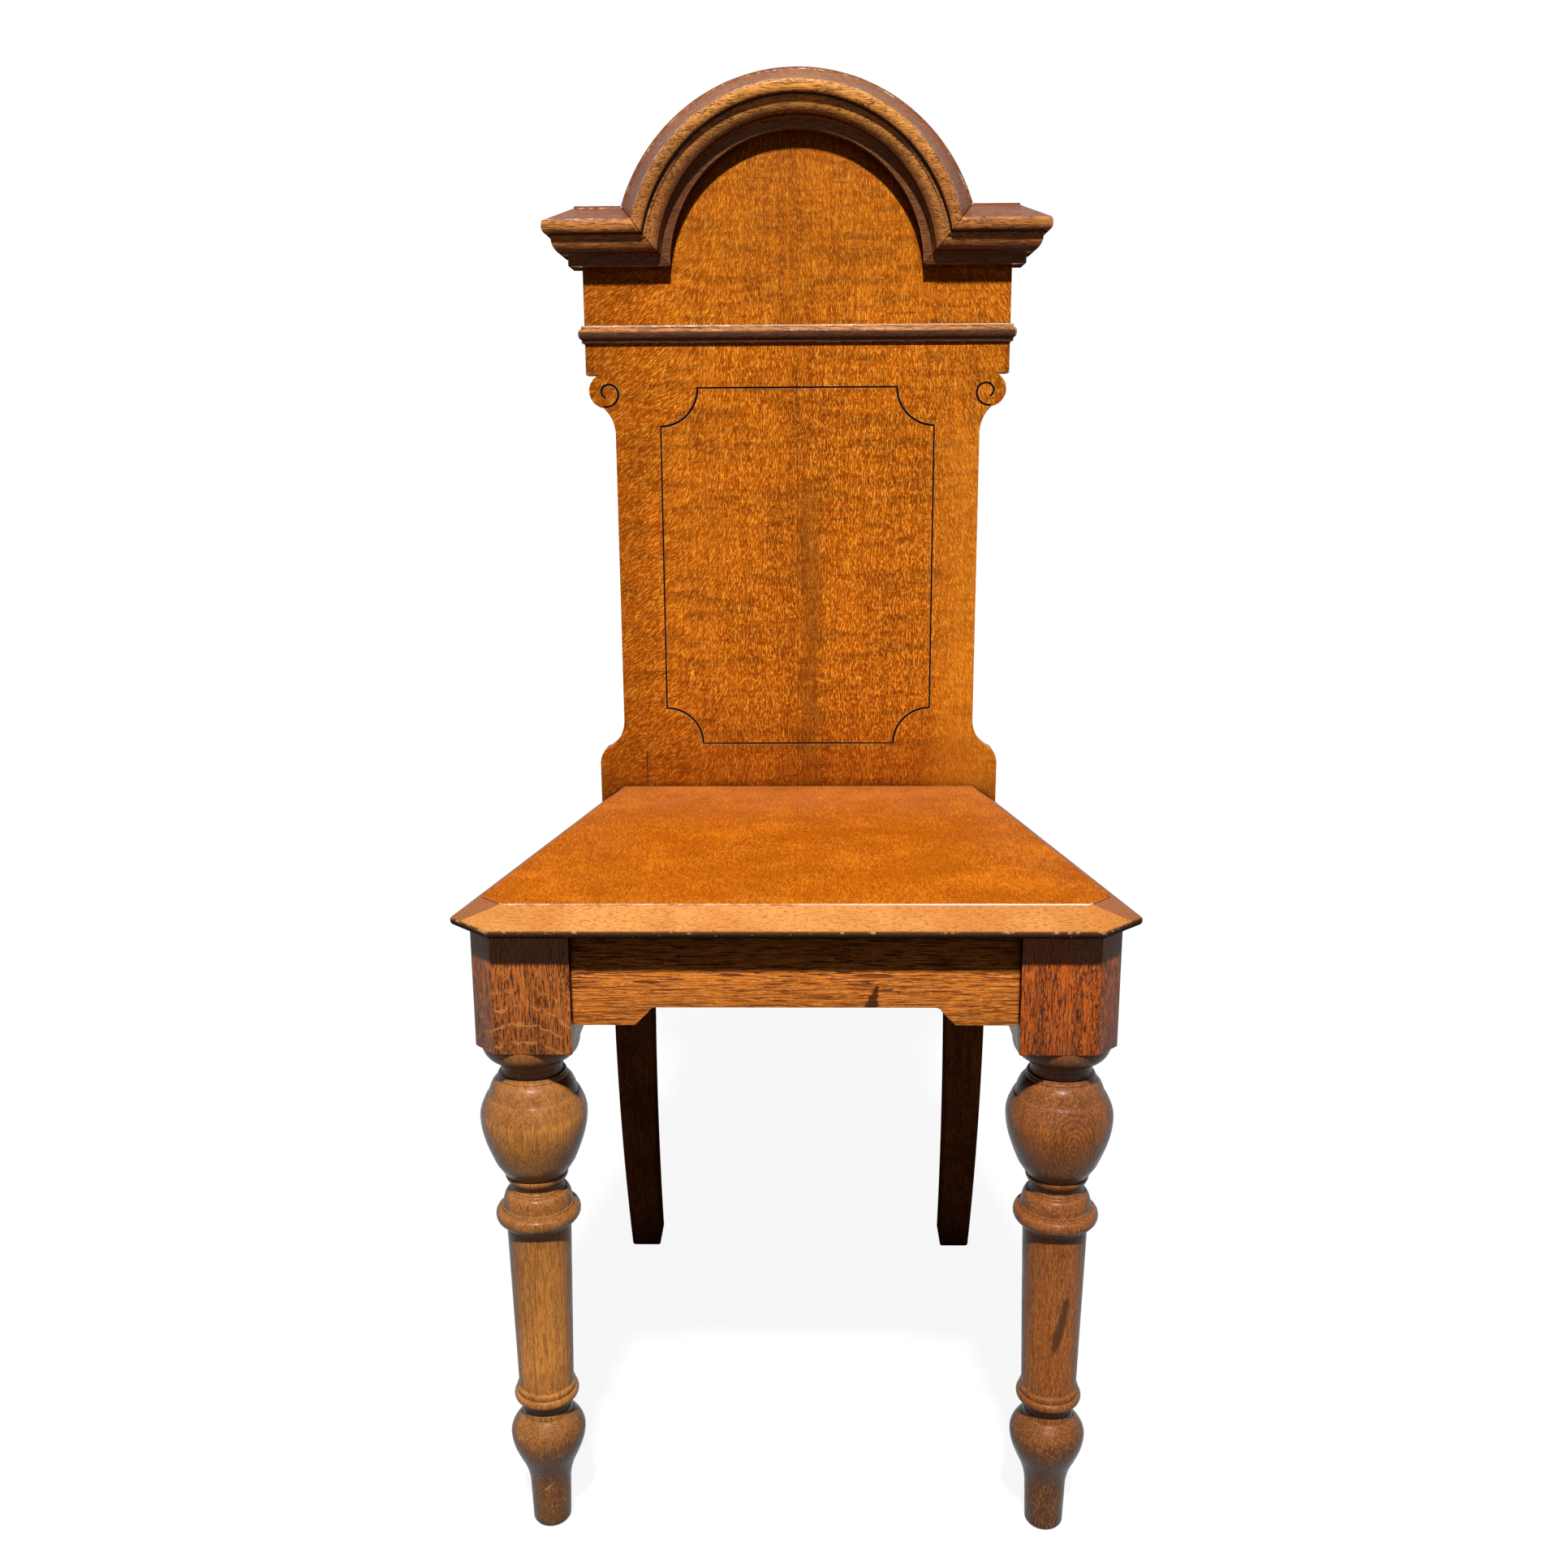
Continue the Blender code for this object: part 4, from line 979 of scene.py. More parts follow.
def make_glue_block(node):
    """A copy of the CAD block with its edges rubbed round."""
    block = copy_of(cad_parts[node], node.replace("glue_block", "corner_block"))
    for key in list(block.keys()):
        del block[key]
    block.parent = None
    edit(block)
    bpy.ops.mesh.select_all(action="SELECT")
    bpy.ops.mesh.remove_doubles(threshold=MERGE)
    bpy.ops.mesh.dissolve_limited(angle_limit=FLAT_ANGLE)
    face_out()
    soften(block, ARRIS, ARRIS_STEPS, sharp(SMALL_ANGLE))
    return smooth(block)


# Shader helpers


def fill(tree, socket, value):
    """A socket takes a link, or a plain value."""
    if isinstance(value, bpy.types.NodeSocket):
        tree.links.new(value, socket)
    elif value is not None:
        socket.default_value = value


def calc(tree, operation, first, second=None, clamp=False):
    node = tree.nodes.new("ShaderNodeMath")
    node.operation = operation
    node.use_clamp = clamp
    fill(tree, node.inputs[0], first)
    fill(tree, node.inputs[1], second)
    return node.outputs[0]


def plus(tree, first, second, clamp=False):
    return calc(tree, "ADD", first, second, clamp)


def minus(tree, first, second, clamp=False):
    return calc(tree, "SUBTRACT", first, second, clamp)


def times(tree, first, second, clamp=False):
    return calc(tree, "MULTIPLY", first, second, clamp)


def above(tree, value, level):
    return calc(tree, "GREATER_THAN", value, level)


def below(tree, value, level):
    return calc(tree, "LESS_THAN", value, level)


def off(tree, value, middle):
    """How far a value lies from a middle, to either side."""
    return calc(tree, "ABSOLUTE", minus(tree, value, middle))


def vectors(tree, operation, *values):
    node = tree.nodes.new("ShaderNodeVectorMath")
    node.operation = operation
    for socket, value in zip(node.inputs, values):
        fill(tree, socket, value)
    return node.outputs


def mix(tree, factor, first, second):
    node = tree.nodes.new("ShaderNodeMix")
    node.data_type = "RGBA"
    fill(tree, node.inputs["Factor"], factor)
    fill(tree, node.inputs[6], first)
    fill(tree, node.inputs[7], second)
    return node.outputs[2]


def stain(tree, shade, mask, amount, tint):
    """The shade, with so much of a tint where the mask is white."""
    return mix(tree, times(tree, mask, amount), shade, tint)


def spread(tree, value, start, end, low=0.0, high=1.0):
    """A value between start and end becomes one between low and high, eased at both ends."""
    node = tree.nodes.new("ShaderNodeMapRange")
    node.interpolation_type = "SMOOTHSTEP"
    fill(tree, node.inputs["Value"], value)
    fill(tree, node.inputs["From Min"], start)
    fill(tree, node.inputs["From Max"], end)
    fill(tree, node.inputs["To Min"], low)
    fill(tree, node.inputs["To Max"], high)
    return node.outputs["Result"]


def noise_node(tree, vector, scale, detail=2.0, rough=0.5):
    node = tree.nodes.new("ShaderNodeTexNoise")
    fill(tree, node.inputs["Vector"], vector)
    fill(tree, node.inputs["Scale"], scale)
    node.inputs["Detail"].default_value = detail
    node.inputs["Roughness"].default_value = rough
    return node.outputs


def noise(tree, vector, scale, detail=2.0, rough=0.5):
    """A grey noise: its scale is in waves a metre, on an object's own place."""
    return noise_node(tree, vector, scale, detail, rough)["Fac"]


def wander(tree, vector, reach, scale, detail=2.0, rough=0.5):
    """A length that wanders around nought, over a reach in metres."""
    return times(tree, minus(tree, noise(tree, vector, scale, detail, rough), 0.5), reach)


def grow(tree, vector, scale):
    """A vector times a plain value."""
    node = tree.nodes.new("ShaderNodeVectorMath")
    node.operation = "SCALE"
    fill(tree, node.inputs[0], vector)
    fill(tree, node.inputs["Scale"], scale)
    return node.outputs[0]


def turned(tree, vector, angle, axis="Y_AXIS"):
    node = tree.nodes.new("ShaderNodeVectorRotate")
    node.rotation_type = axis
    fill(tree, node.inputs["Vector"], vector)
    fill(tree, node.inputs["Angle"], angle)
    return node.outputs[0]


def parts(tree, vector):
    """x, y and z of a vector."""
    node = tree.nodes.new("ShaderNodeSeparateXYZ")
    fill(tree, node.inputs[0], vector)
    return node.outputs[0], node.outputs[1], node.outputs[2]


def colour(red, green, blue):
    return (red, green, blue, 1.0)


def new_group(name, inputs, outputs):
    """A node group, with what it is given and what it makes."""
    group = bpy.data.node_groups.new(name, "ShaderNodeTree")
    kinds = {"vector": "NodeSocketVector", "value": "NodeSocketFloat", "colour": "NodeSocketColor"}
    for label, kind, value in inputs:
        socket = group.interface.new_socket(name=label, in_out="INPUT", socket_type=kinds[kind])
        if value is not None:
            socket.default_value = value
    for label, kind in outputs:
        group.interface.new_socket(name=label, in_out="OUTPUT", socket_type=kinds[kind])
    return group, group.nodes.new("NodeGroupInput").outputs, group.nodes.new("NodeGroupOutput").inputs


def use(tree, group, **values):
    """A node group put to use: its outputs."""
    node = tree.nodes.new("ShaderNodeGroup")
    node.node_tree = group
    for label, value in values.items():
        fill(tree, node.inputs[label], value)
    return node.outputs


def streaks(tree, vector, across, along, bend, start, end):
    """The streaks group's mask: across and along are marks a metre, along Z."""
    made = use(
        tree, GROUPS["streaks"], Vector=vector, Across=across, Along=along, Bend=bend, Start=start, End=end,
    )
    return made["Mask"]


# Shader groups: each gives masks, heights or colours

GROUPS = {}
STREAK_WANDER = 0.35         # waves of the bend to one mark
MIDDLE_GREY = (0.5, 0.5, 0.5)
RUBBED_TURN = (0.985, 0.86)  # how far a rounded normal turns from the true one, as a cosine
OPEN_SKY = (0.72, 0.92)
CLOSED_SKY = (0.82, 0.30)
RUBBED_REACH = 0.004
SCRATCH_ANGLES = ((0.35, 0.0), (-0.8, 3.0), (1.9, 7.0))    # in radians, with each set's place in the noise
SCRATCHES_A_METRE = (760.0, 760.0, 34.0)
FLECK_ANGLES = (24, 52)


def streaks_group():
    """Marks drawn out along the grain, which runs along Z; across and along are marks a metre."""
    group, given, made = new_group(
        "grain streaks",
        (
            ("Vector", "vector", None),
            ("Across", "value", 400.0),
            ("Along", "value", 60.0),
            ("Bend", "value", 0.6),
            ("Start", "value", 0.5),
            ("End", "value", 0.7),
        ),
        (("Mask", "value"),),
    )
    scale = group.nodes.new("ShaderNodeCombineXYZ")
    for axis, label in enumerate(("Across", "Across", "Along")):
        fill(group, scale.inputs[axis], given[label])
    drawn = vectors(group, "MULTIPLY", given["Vector"], scale.outputs[0])[0]
    bends = noise_node(group, drawn, STREAK_WANDER, 1.0)["Color"]
    centred = vectors(group, "SUBTRACT", bends, MIDDLE_GREY)[0]
    moved = vectors(group, "ADD", drawn, grow(group, centred, given["Bend"]))[0]
    marks = noise(group, moved, 1.0, 2.0, 0.55)
    fill(group, made["Mask"], spread(group, marks, given["Start"], given["End"]))
    return group


def wear_group():
    """White on edges that hands and brooms have rubbed, broken up by a coarse noise. With the mouldings'
    near-white worn colour it also paints highlights on their edges.
    """
    group, given, made = new_group(
        "rubbed edges",
        (("Vector", "vector", None), ("Radius", "value", 0.0012), ("Amount", "value", 1.0)),
        (("Mask", "value"),),
    )
    rounded = group.nodes.new("ShaderNodeBevel")
    rounded.samples = 4
    fill(group, rounded.inputs["Radius"], given["Radius"])
    shape = group.nodes.new("ShaderNodeNewGeometry")
    turn = vectors(group, "DOT_PRODUCT", rounded.outputs["Normal"], shape.outputs["Normal"])["Value"]
    near = group.nodes.new("ShaderNodeAmbientOcclusion")
    near.samples = 3
    near.inputs["Distance"].default_value = RUBBED_REACH
    outward = spread(group, near.outputs["AO"], *OPEN_SKY)
    broken = spread(group, noise(group, given["Vector"], 75.0, 5.0, 0.7), 0.42, 0.60)
    worn = times(group, times(group, spread(group, turn, *RUBBED_TURN), broken), outward)
    fill(group, made["Mask"], times(group, worn, given["Amount"], clamp=True))
    return group


def polish_and_shade_group():
    """White where little sky is seen, in quirks, corners and under overhangs: partly polish and dust gathered
    there, partly painted shade.
    """
    group, given, made = new_group(
        "settled polish",
        (("Vector", "vector", None), ("Distance", "value", 0.006), ("Amount", "value", 1.0)),
        (("Mask", "value"),),
    )
    near = group.nodes.new("ShaderNodeAmbientOcclusion")
    near.samples = 4
    fill(group, near.inputs["Distance"], given["Distance"])
    closed = spread(group, near.outputs["AO"], *CLOSED_SKY)
    patches = spread(group, noise(group, given["Vector"], 90.0, 3.0, 0.6), 0.25, 0.6, 0.6, 1.0)
    fill(group, made["Mask"], times(group, times(group, closed, patches), given["Amount"], clamp=True))
    return group


def scuffs_group():
    """Thin knocks and scratches, and specks where the polish has chipped."""
    group, given, made = new_group(
        "scuffs and specks",
        (("Vector", "vector", None), ("Scratches", "value", 0.5), ("Specks", "value", 0.5)),
        (("Mask", "value"), ("Height", "value")),
    )
    found = []
    for angle, place in SCRATCH_ANGLES:
        vector = turned(group, given["Vector"], angle)
        moved = vectors(group, "MULTIPLY_ADD", vector, SCRATCHES_A_METRE, (place, place, place))[0]
        found.append(spread(group, noise(group, moved, 1.0, 0.0), 0.79, 0.84))
    lines = calc(group, "MAXIMUM", calc(group, "MAXIMUM", found[0], found[1]), found[2])
    lines = times(group, lines, given["Scratches"])
    dots = spread(group, noise(group, given["Vector"], 520.0, 1.0), 0.745, 0.775)
    marks = calc(group, "MAXIMUM", lines, times(group, dots, given["Specks"]), clamp=True)
    fill(group, made["Mask"], marks)
    fill(group, made["Height"], times(group, marks, -0.6))
    return group


def oak_group():
    """Oak: dark grain, open pores, pale ray flecks that stand up or lean, and cross ripple."""
    group, given, made = new_group(
        "oak figure",
        (
            ("Vector", "vector", None),
            ("Size", "value", 1.0),
            ("Ground", "colour", colour(0.5, 0.14, 0.015)),
            ("Pale", "colour", colour(0.75, 0.30, 0.06)),
            ("Dark", "colour", colour(0.16, 0.035, 0.004)),
            ("Rings", "value", 0.5),
            ("Grain", "value", 0.3),
            ("Pores", "value", 0.6),
            ("Flecks", "value", 0.5),
            ("Lean", "value", 0.0),
            ("Ripple", "value", 0.4),
            ("Tone", "value", 0.4),
        ),
        (("Color", "colour"), ("Height", "value"), ("Polish", "value")),
    )
    place = given["Vector"]
    dark = given["Dark"]
    vector = grow(group, place, calc(group, "DIVIDE", 1.0, given["Size"]))
    broad = spread(group, noise(group, place, 11.0, 4.0, 0.6), 0.32, 0.70)
    rings = streaks(group, vector, 420.0, 9.0, 1.8, 0.50, 0.60)
    rows = streaks(group, vector, 190.0, 9.0, 1.6, 0.42, 0.58)
    pores = times(group, streaks(group, vector, 1700.0, 330.0, 0.9, 0.52, 0.60), rows)
    grain = streaks(group, vector, 1750.0, 115.0, 1.8, 0.500, 0.585)
    upright = streaks(group, vector, 1500.0, 270.0, 3.6, 0.505, 0.590)
    leaning = []
    for angle in FLECK_ANGLES:
        tilted = turned(group, vector, math.radians(angle))
        leaning.append(streaks(group, tilted, 1400.0, 210.0, 3.0, 0.505, 0.590))
    ripple = streaks(group, place, 22.0, 115.0, 1.8, 0.46, 0.64)
    deep = streaks(group, place, 45.0, 430.0, 3.0, 0.57, 0.70)

    # A lean of 0 takes the upright flecks, 0.5 the first leaning set and 1 the second
    doubled = times(group, given["Lean"], 2.0)
    first = minus(group, 1.0, doubled, clamp=True)
    last = minus(group, doubled, 1.0, clamp=True)
    second = minus(group, 1.0, plus(group, first, last), clamp=True)
    rays = plus(group, times(group, upright, first), times(group, leaning[0], second))
    rays = plus(group, rays, times(group, leaning[1], last), clamp=True)

    shade = stain(group, given["Ground"], broad, given["Tone"], dark)
    shade = stain(group, shade, ripple, times(group, given["Ripple"], 0.5), dark)
    shade = stain(group, shade, rings, given["Rings"], dark)
    shade = stain(group, shade, rays, given["Flecks"], given["Pale"])
    shade = stain(group, shade, grain, given["Grain"], dark)
    shade = stain(group, shade, ripple, times(group, given["Ripple"], 0.35), dark)
    shade = stain(group, shade, deep, times(group, given["Ripple"], 0.6), dark)
    fill(group, made["Color"], stain(group, shade, pores, given["Pores"], dark))
    raised = times(group, rays, times(group, given["Flecks"], 0.3))
    grooves = times(group, grain, times(group, given["Grain"], 0.7))
    sunk = calc(group, "MAXIMUM", times(group, pores, given["Pores"]), grooves)
    fill(group, made["Height"], minus(group, raised, sunk))
    fill(group, made["Polish"], times(group, sunk, 0.6))
    return group


def make_groups():
    GROUPS["streaks"] = streaks_group()
    GROUPS["wear"] = wear_group()
    GROUPS["polish_and_shade"] = polish_and_shade_group()
    GROUPS["scuffs"] = scuffs_group()
    GROUPS["oak"] = oak_group()


# Boards: what each has of its own on top of the oak. In figure, marks and joints a place is in metres

# A near-black for dark glue lines and mitres, and for painted shade in quirks, corners and on the sides of
# the turnings.
DARK_POLISH_AND_SHADE = colour(0.010, 0.004, 0.002)
GLUE_LINE = (0.0012, 0.0022)    # no hand rubs so near a glued joint


class PlainBoard:
    """A board with nothing of its own."""

    def figure(self, tree, place):
        """Inputs of the oak group that change from place to place."""
        return {}

    def marks(self, tree, shade, place):
        """Stains and knots, and some painted shade, light and sheen, under the wear."""
        return shade

    def bare(self, tree, place):
        """White where hands can rub."""
        return 1.0

    def joints(self, tree, shade, place):
        """Glue lines, quirks and chips, with some painted shade and highlights, over the wear."""
        return shade


class GluedBoard(PlainBoard):
    """One of two boards with a glued joint in the middle of the chair."""

    def bare(self, tree, place):
        return spread(tree, calc(tree, "ABSOLUTE", parts(tree, place)[0]), *GLUE_LINE)


class BackBoard(GluedBoard):
    """What only the back has: leaning flecks, dark bands by the joint, inked lines with a painted highlight
    on their lip, and painted shade and light.
    """

    BAND = colour(0.16, 0.030, 0.003)
    INNER_BAND = colour(0.17, 0.055, 0.006)
    # Painted shade and light on the back: darker near the seat, at the top and on the left, lighter on the
    # right.
    PAINTED_LOW_SHADE = colour(0.16, 0.026, 0.002)
    PAINTED_HIGH_SHADE = colour(0.20, 0.060, 0.003)
    LEFT_SHADE = colour(0.18, 0.034, 0.002)
    PAINTED_RIGHT_LIGHT = colour(0.88, 0.300, 0.022)
    PAINTED_LIP_GLINT = colour(0.80, 0.52, 0.30)
    INK = colour(0.012, 0.005, 0.003)
    LEFT_LEAN = (-0.045, -0.120)              # a fade: from where, to where, from how much, to how much
    RIGHT_LEAN = (0.090, 0.170, 0.0, 0.45)
    HIGH_LEAN = (0.80, 0.88, 0.0, 0.15)
    JOINT_PORES = (0.050, 0.010, 0.45, 0.90)
    RIGHT_PORES = (0.0, 0.12, 0.45, 0.70)
    BAND_FADE = (0.024, 0.004)
    INNER_MIDDLE = 0.012
    INNER_FADES = ((0.012, 0.002), (0.000, 0.005), (0.735, 0.700))
    LOW_FADE = (0.56, 0.465)
    HIGH_FADE = (0.84, 0.92)
    LEFT_FADE = (-0.095, -0.150)
    RIGHT_FADE = (0.095, 0.140)
    RIGHT_TOP_FADE = (0.79, 0.74)
    JOINT_FADES = ((0.0006, 0.0002), (0.86, 0.78, 0.05, 0.35))
    FOOT_JOINT = -0.1278         # a strip is glued on at the foot, on the left
    FOOT_JOINT_TOP = 0.4990
    SCROLL_LEVELS = (0.779, 0.8055)
    LINES_TOP = 0.83
    PANEL_INSET = 0.004          # lines lie at least so far inside the back's outline
    SCROLL_INSIDE = 0.0035
    LINE_DEPTH = 0.0013
    LIP_GLINT_DEPTHS = (BACK_FACE + 0.00002, BACK_FACE + 0.00008)
    INK_DEPTHS = (BACK_FACE + 0.00022, BACK_FACE + 0.00045)

    def figure(self, tree, place):
        x, y, z = parts(tree, place)
        moved = plus(tree, x, wander(tree, place, 0.08, 14.0))
        left = spread(tree, moved, *self.LEFT_LEAN)
        right = spread(tree, moved, *self.RIGHT_LEAN)
        high = spread(tree, z, *self.HIGH_LEAN)
        lean = calc(tree, "MAXIMUM", calc(tree, "MAXIMUM", left, right), high)
        near = spread(tree, calc(tree, "ABSOLUTE", moved), *self.JOINT_PORES)
        return {"Lean": lean, "Pores": calc(tree, "MAXIMUM", near, spread(tree, x, *self.RIGHT_PORES))}

    def marks(self, tree, shade, place):
        x, y, z = parts(tree, place)
        drift = wander(tree, place, 0.030, 26.0, 3.0, 0.6)
        moved = plus(tree, x, drift)
        band = spread(tree, plus(tree, calc(tree, "ABSOLUTE", x), drift), *self.BAND_FADE)
        shade = stain(tree, shade, band, 0.16, self.BAND)
        far, near, top = self.INNER_FADES
        inner = spread(tree, plus(tree, minus(tree, x, self.INNER_MIDDLE), drift), *far)
        inner = times(tree, inner, spread(tree, moved, *near))
        inner = times(tree, inner, spread(tree, plus(tree, z, drift), *top))
        shade = stain(tree, shade, inner, 0.42, self.INNER_BAND)
        # Painted shade: darker towards the seat.
        shade = stain(tree, shade, spread(tree, z, *self.LOW_FADE), 0.50, self.PAINTED_LOW_SHADE)
        # Painted shade: darker towards the top, under the arch.
        shade = stain(tree, shade, spread(tree, z, *self.HIGH_FADE), 0.26, self.PAINTED_HIGH_SHADE)
        # Painted shade on the left margin, and painted light on the right below the frieze.
        shade = stain(tree, shade, spread(tree, moved, *self.LEFT_FADE), 0.34, self.LEFT_SHADE)
        right = times(tree, spread(tree, moved, *self.RIGHT_FADE), spread(tree, z, *self.RIGHT_TOP_FADE))
        return stain(tree, shade, right, 0.22, self.PAINTED_RIGHT_LIGHT)

    def joints(self, tree, shade, place):
        """Glue lines, and the incised lines, known by their depth behind the face."""
        x, y, z = parts(tree, place)
        side = calc(tree, "ABSOLUTE", x)
        across, upward = self.JOINT_FADES
        joint = times(tree, spread(tree, side, *across), spread(tree, z, *upward))
        shade = mix(tree, joint, shade, DARK_POLISH_AND_SHADE)
        glued = spread(tree, off(tree, x, self.FOOT_JOINT), 0.0007, 0.0003)
        glued = times(tree, glued, below(tree, z, self.FOOT_JOINT_TOP))
        shade = stain(tree, shade, glued, 0.75, DARK_POLISH_AND_SHADE)
        behind = below(tree, y, BACK_FACE + self.LINE_DEPTH)
        panel = below(tree, side, WAIST_HALF - self.PANEL_INSET)
        low, high = self.SCROLL_LEVELS
        level = times(tree, above(tree, z, low), below(tree, z, high))
        scroll = times(tree, below(tree, side, FRIEZE_HALF - self.SCROLL_INSIDE), level)
        inside = times(tree, calc(tree, "MAXIMUM", panel, scroll), below(tree, z, self.LINES_TOP))
        cut = times(tree, inside, behind)
        # Painted highlight: a pale line just inside the lip of the incised lines.
        shade = stain(tree, shade, times(tree, cut, spread(tree, y, *self.LIP_GLINT_DEPTHS)), 0.55, self.PAINTED_LIP_GLINT)
        return mix(tree, times(tree, cut, spread(tree, y, *self.INK_DEPTHS)), shade, self.INK)


class SeatBoard(GluedBoard):
    """What only the seat has: a paler rubbed bevel with long dark pores, worn edges, a faint joint, a painted
    highlight on the step, painted shade on the nose and a painted sheen at the rear.
    """

    HATCHES = ((9, 0.47), (-11, 0.53))    # degrees, and the clouds' level where the set is half seen
    HATCH = colour(0.66, 0.210, 0.012)
    CLOUD = colour(0.62, 0.165, 0.008)
    PATCH = colour(0.24, 0.050, 0.002)
    REAR_SHEEN = colour(0.42, 0.150, 0.055)
    JOINT_BROWN = colour(0.20, 0.04, 0.005)
    SPOT = colour(0.25, 0.035, 0.004)
    TANS = (colour(0.50, 0.195, 0.047), colour(0.60, 0.265, 0.075))
    SIDE_TAN = colour(0.26, 0.105, 0.050)
    BEVEL_PORE = colour(0.24, 0.065, 0.015)
    STEP_BROWN = colour(0.50, 0.20, 0.07)
    STEP_TAN = colour(0.85, 0.66, 0.48)
    STEP_GLINT = colour(1.0, 0.94, 0.86)
    PAINTED_NOSE_SHADES = (colour(0.050, 0.026, 0.014), colour(0.018, 0.008, 0.005))
    CHIP = colour(0.52, 0.27, 0.14)
    RIM = SEAT_TOP - BEVEL_STEP - BEVEL_FALL
    REAR_SHEEN_FADE = (SEAT_REAR - 0.16, SEAT_REAR - 0.02)
    FRONT_REACH = SEAT_FRONT + BEVEL_WIDTH + 0.0025
    STEP_FADES = ((SEAT_TOP - 0.00025, SEAT_TOP - 0.00045), (SEAT_TOP - 0.0015, SEAT_TOP - 0.0012))
    STEP_GLINT_FADE = (-0.03, 0.10, 0.0, 0.85)     # the step is whitest towards the right
    NOSE_FADE = (RIM + 0.0006, RIM - 0.0008)
    CHIP_FADE = (RIM - 0.0022, RIM - 0.0006)
    NOSE_SHADE_FADE = (RIM - 0.0012, RIM - 0.0026)

    def marks(self, tree, shade, place):
        x, y, z = parts(tree, place)
        clouds = noise(tree, place, 17.0, 3.0, 0.6)
        shade = self.field(tree, shade, place, x, y, clouds)
        worn = noise(tree, place, 120.0, 4.0, 0.7)
        front = below(tree, y, self.FRONT_REACH)
        shade = self.bevel(tree, shade, place, z, clouds, front)
        # Painted highlight: a pale line along the front step, whitest towards the right, broken by wear.
        upper, lower = self.STEP_FADES
        step = times(tree, times(tree, spread(tree, z, *upper), front), spread(tree, z, *lower))
        bright = mix(tree, spread(tree, worn, 0.35, 0.65), self.STEP_BROWN, self.STEP_TAN)
        bright = mix(tree, spread(tree, x, *self.STEP_GLINT_FADE), bright, self.STEP_GLINT)
        shade = stain(tree, shade, step, 0.85, bright)
        # Painted shade on the nose, darkest towards the underside, with pale chips of wear.
        nose = spread(tree, z, *self.NOSE_FADE)
        chips = times(tree, spread(tree, worn, 0.56, 0.64), spread(tree, z, *self.CHIP_FADE))
        edge = mix(tree, spread(tree, z, *self.NOSE_SHADE_FADE), *self.PAINTED_NOSE_SHADES)
        return stain(tree, shade, nose, 0.95, mix(tree, chips, edge, self.CHIP))

    def field(self, tree, shade, place, x, y, clouds):
        """The flat of the seat: two sets of fine lines, clouds, a painted sheen at the rear and spots."""
        patches = noise(tree, place, 42.0, 3.0, 0.6)
        laid = turned(tree, place, math.pi / 2, "X_AXIS")
        for angle, level in self.HATCHES:
            hatch = streaks(tree, turned(tree, laid, math.radians(angle)), 1500.0, 170.0, 2.0, 0.50, 0.60)
            hatch = times(tree, hatch, spread(tree, clouds, level - 0.12, level + 0.12, 0.25, 0.52))
            shade = mix(tree, hatch, shade, self.HATCH)
        shade = mix(tree, spread(tree, clouds, 0.52, 0.72, 0.0, 0.30), shade, self.CLOUD)
        shade = mix(tree, spread(tree, patches, 0.50, 0.34, 0.0, 0.25), shade, self.PATCH)
        # Painted sheen: a pinkish haze towards the rear, broken into patches.
        dull = times(tree, spread(tree, y, *self.REAR_SHEEN_FADE), patches)
        shade = stain(tree, shade, dull, 0.55, self.REAR_SHEEN)
        joint = spread(tree, calc(tree, "ABSOLUTE", x), 0.0009, 0.0002)
        shade = stain(tree, shade, joint, 0.10, self.JOINT_BROWN)
        spots = noise(tree, place, 70.0, 1.0, 0.4)
        return mix(tree, spread(tree, spots, 0.775, 0.80, 0.0, 0.55), shade, self.SPOT)

    def bevel(self, tree, shade, place, z, clouds, front):
        """The bevel, tan along the front and darker at the sides, with long pores."""
        pores = streaks(tree, turned(tree, place, math.pi / 2), 1600.0, 300.0, 1.2, 0.535, 0.60)
        tan = mix(tree, spread(tree, clouds, 0.35, 0.65), *self.TANS)
        tan = mix(tree, minus(tree, 1.0, front), tan, self.SIDE_TAN)
        tan = stain(tree, tan, pores, 0.65, self.BEVEL_PORE)
        return stain(tree, shade, below(tree, z, SEAT_TOP - BEVEL_STEP * 0.8), 0.9, tan)


class RailBoard(PlainBoard):
    """Wavy plum strokes, closest along the top, and one feathered knot."""

    STROKES = ((1.0, 0.52), (1.6, 0.51))    # how fine each set is, and how full
    STROKES_A_METRE = (1050.0, 46.0)
    PLUM = colour(0.105, 0.028, 0.014)
    FINE_PLUM = colour(0.14, 0.030, 0.010)
    KNOT = colour(0.030, 0.010, 0.006)
    HIGH_FADE = (0.398, 0.428, 0.75, 0.95)
    KNOT_TIP = (0.0525, 0.4135)
    KNOT_SLOPES = (0.35, 0.32)    # its lean and half its spread, to one of fall

    def marks(self, tree, shade, place):
        x, y, z = parts(tree, place)
        across = turned(tree, place, math.pi / 2)
        fine, long = self.STROKES_A_METRE
        strokes = [
            streaks(tree, across, fine * scale, long * scale, 4.6, start, start + 0.05)
            for scale, start in self.STROKES
        ]
        shade = stain(tree, shade, strokes[0], spread(tree, z, *self.HIGH_FADE), self.PLUM)
        shade = stain(tree, shade, strokes[1], 0.50, self.FINE_PLUM)
        ragged = wander(tree, place, 0.010, 300.0, 4.0, 0.7)
        sunk = minus(tree, self.KNOT_TIP[1], z)
        middle = minus(tree, self.KNOT_TIP[0], times(tree, sunk, self.KNOT_SLOPES[0]))
        width = plus(tree, times(tree, sunk, self.KNOT_SLOPES[1]), ragged)
        knot = spread(tree, minus(tree, off(tree, x, middle), width), 0.0009, -0.0003)
        return stain(tree, shade, knot, 0.85, self.KNOT)


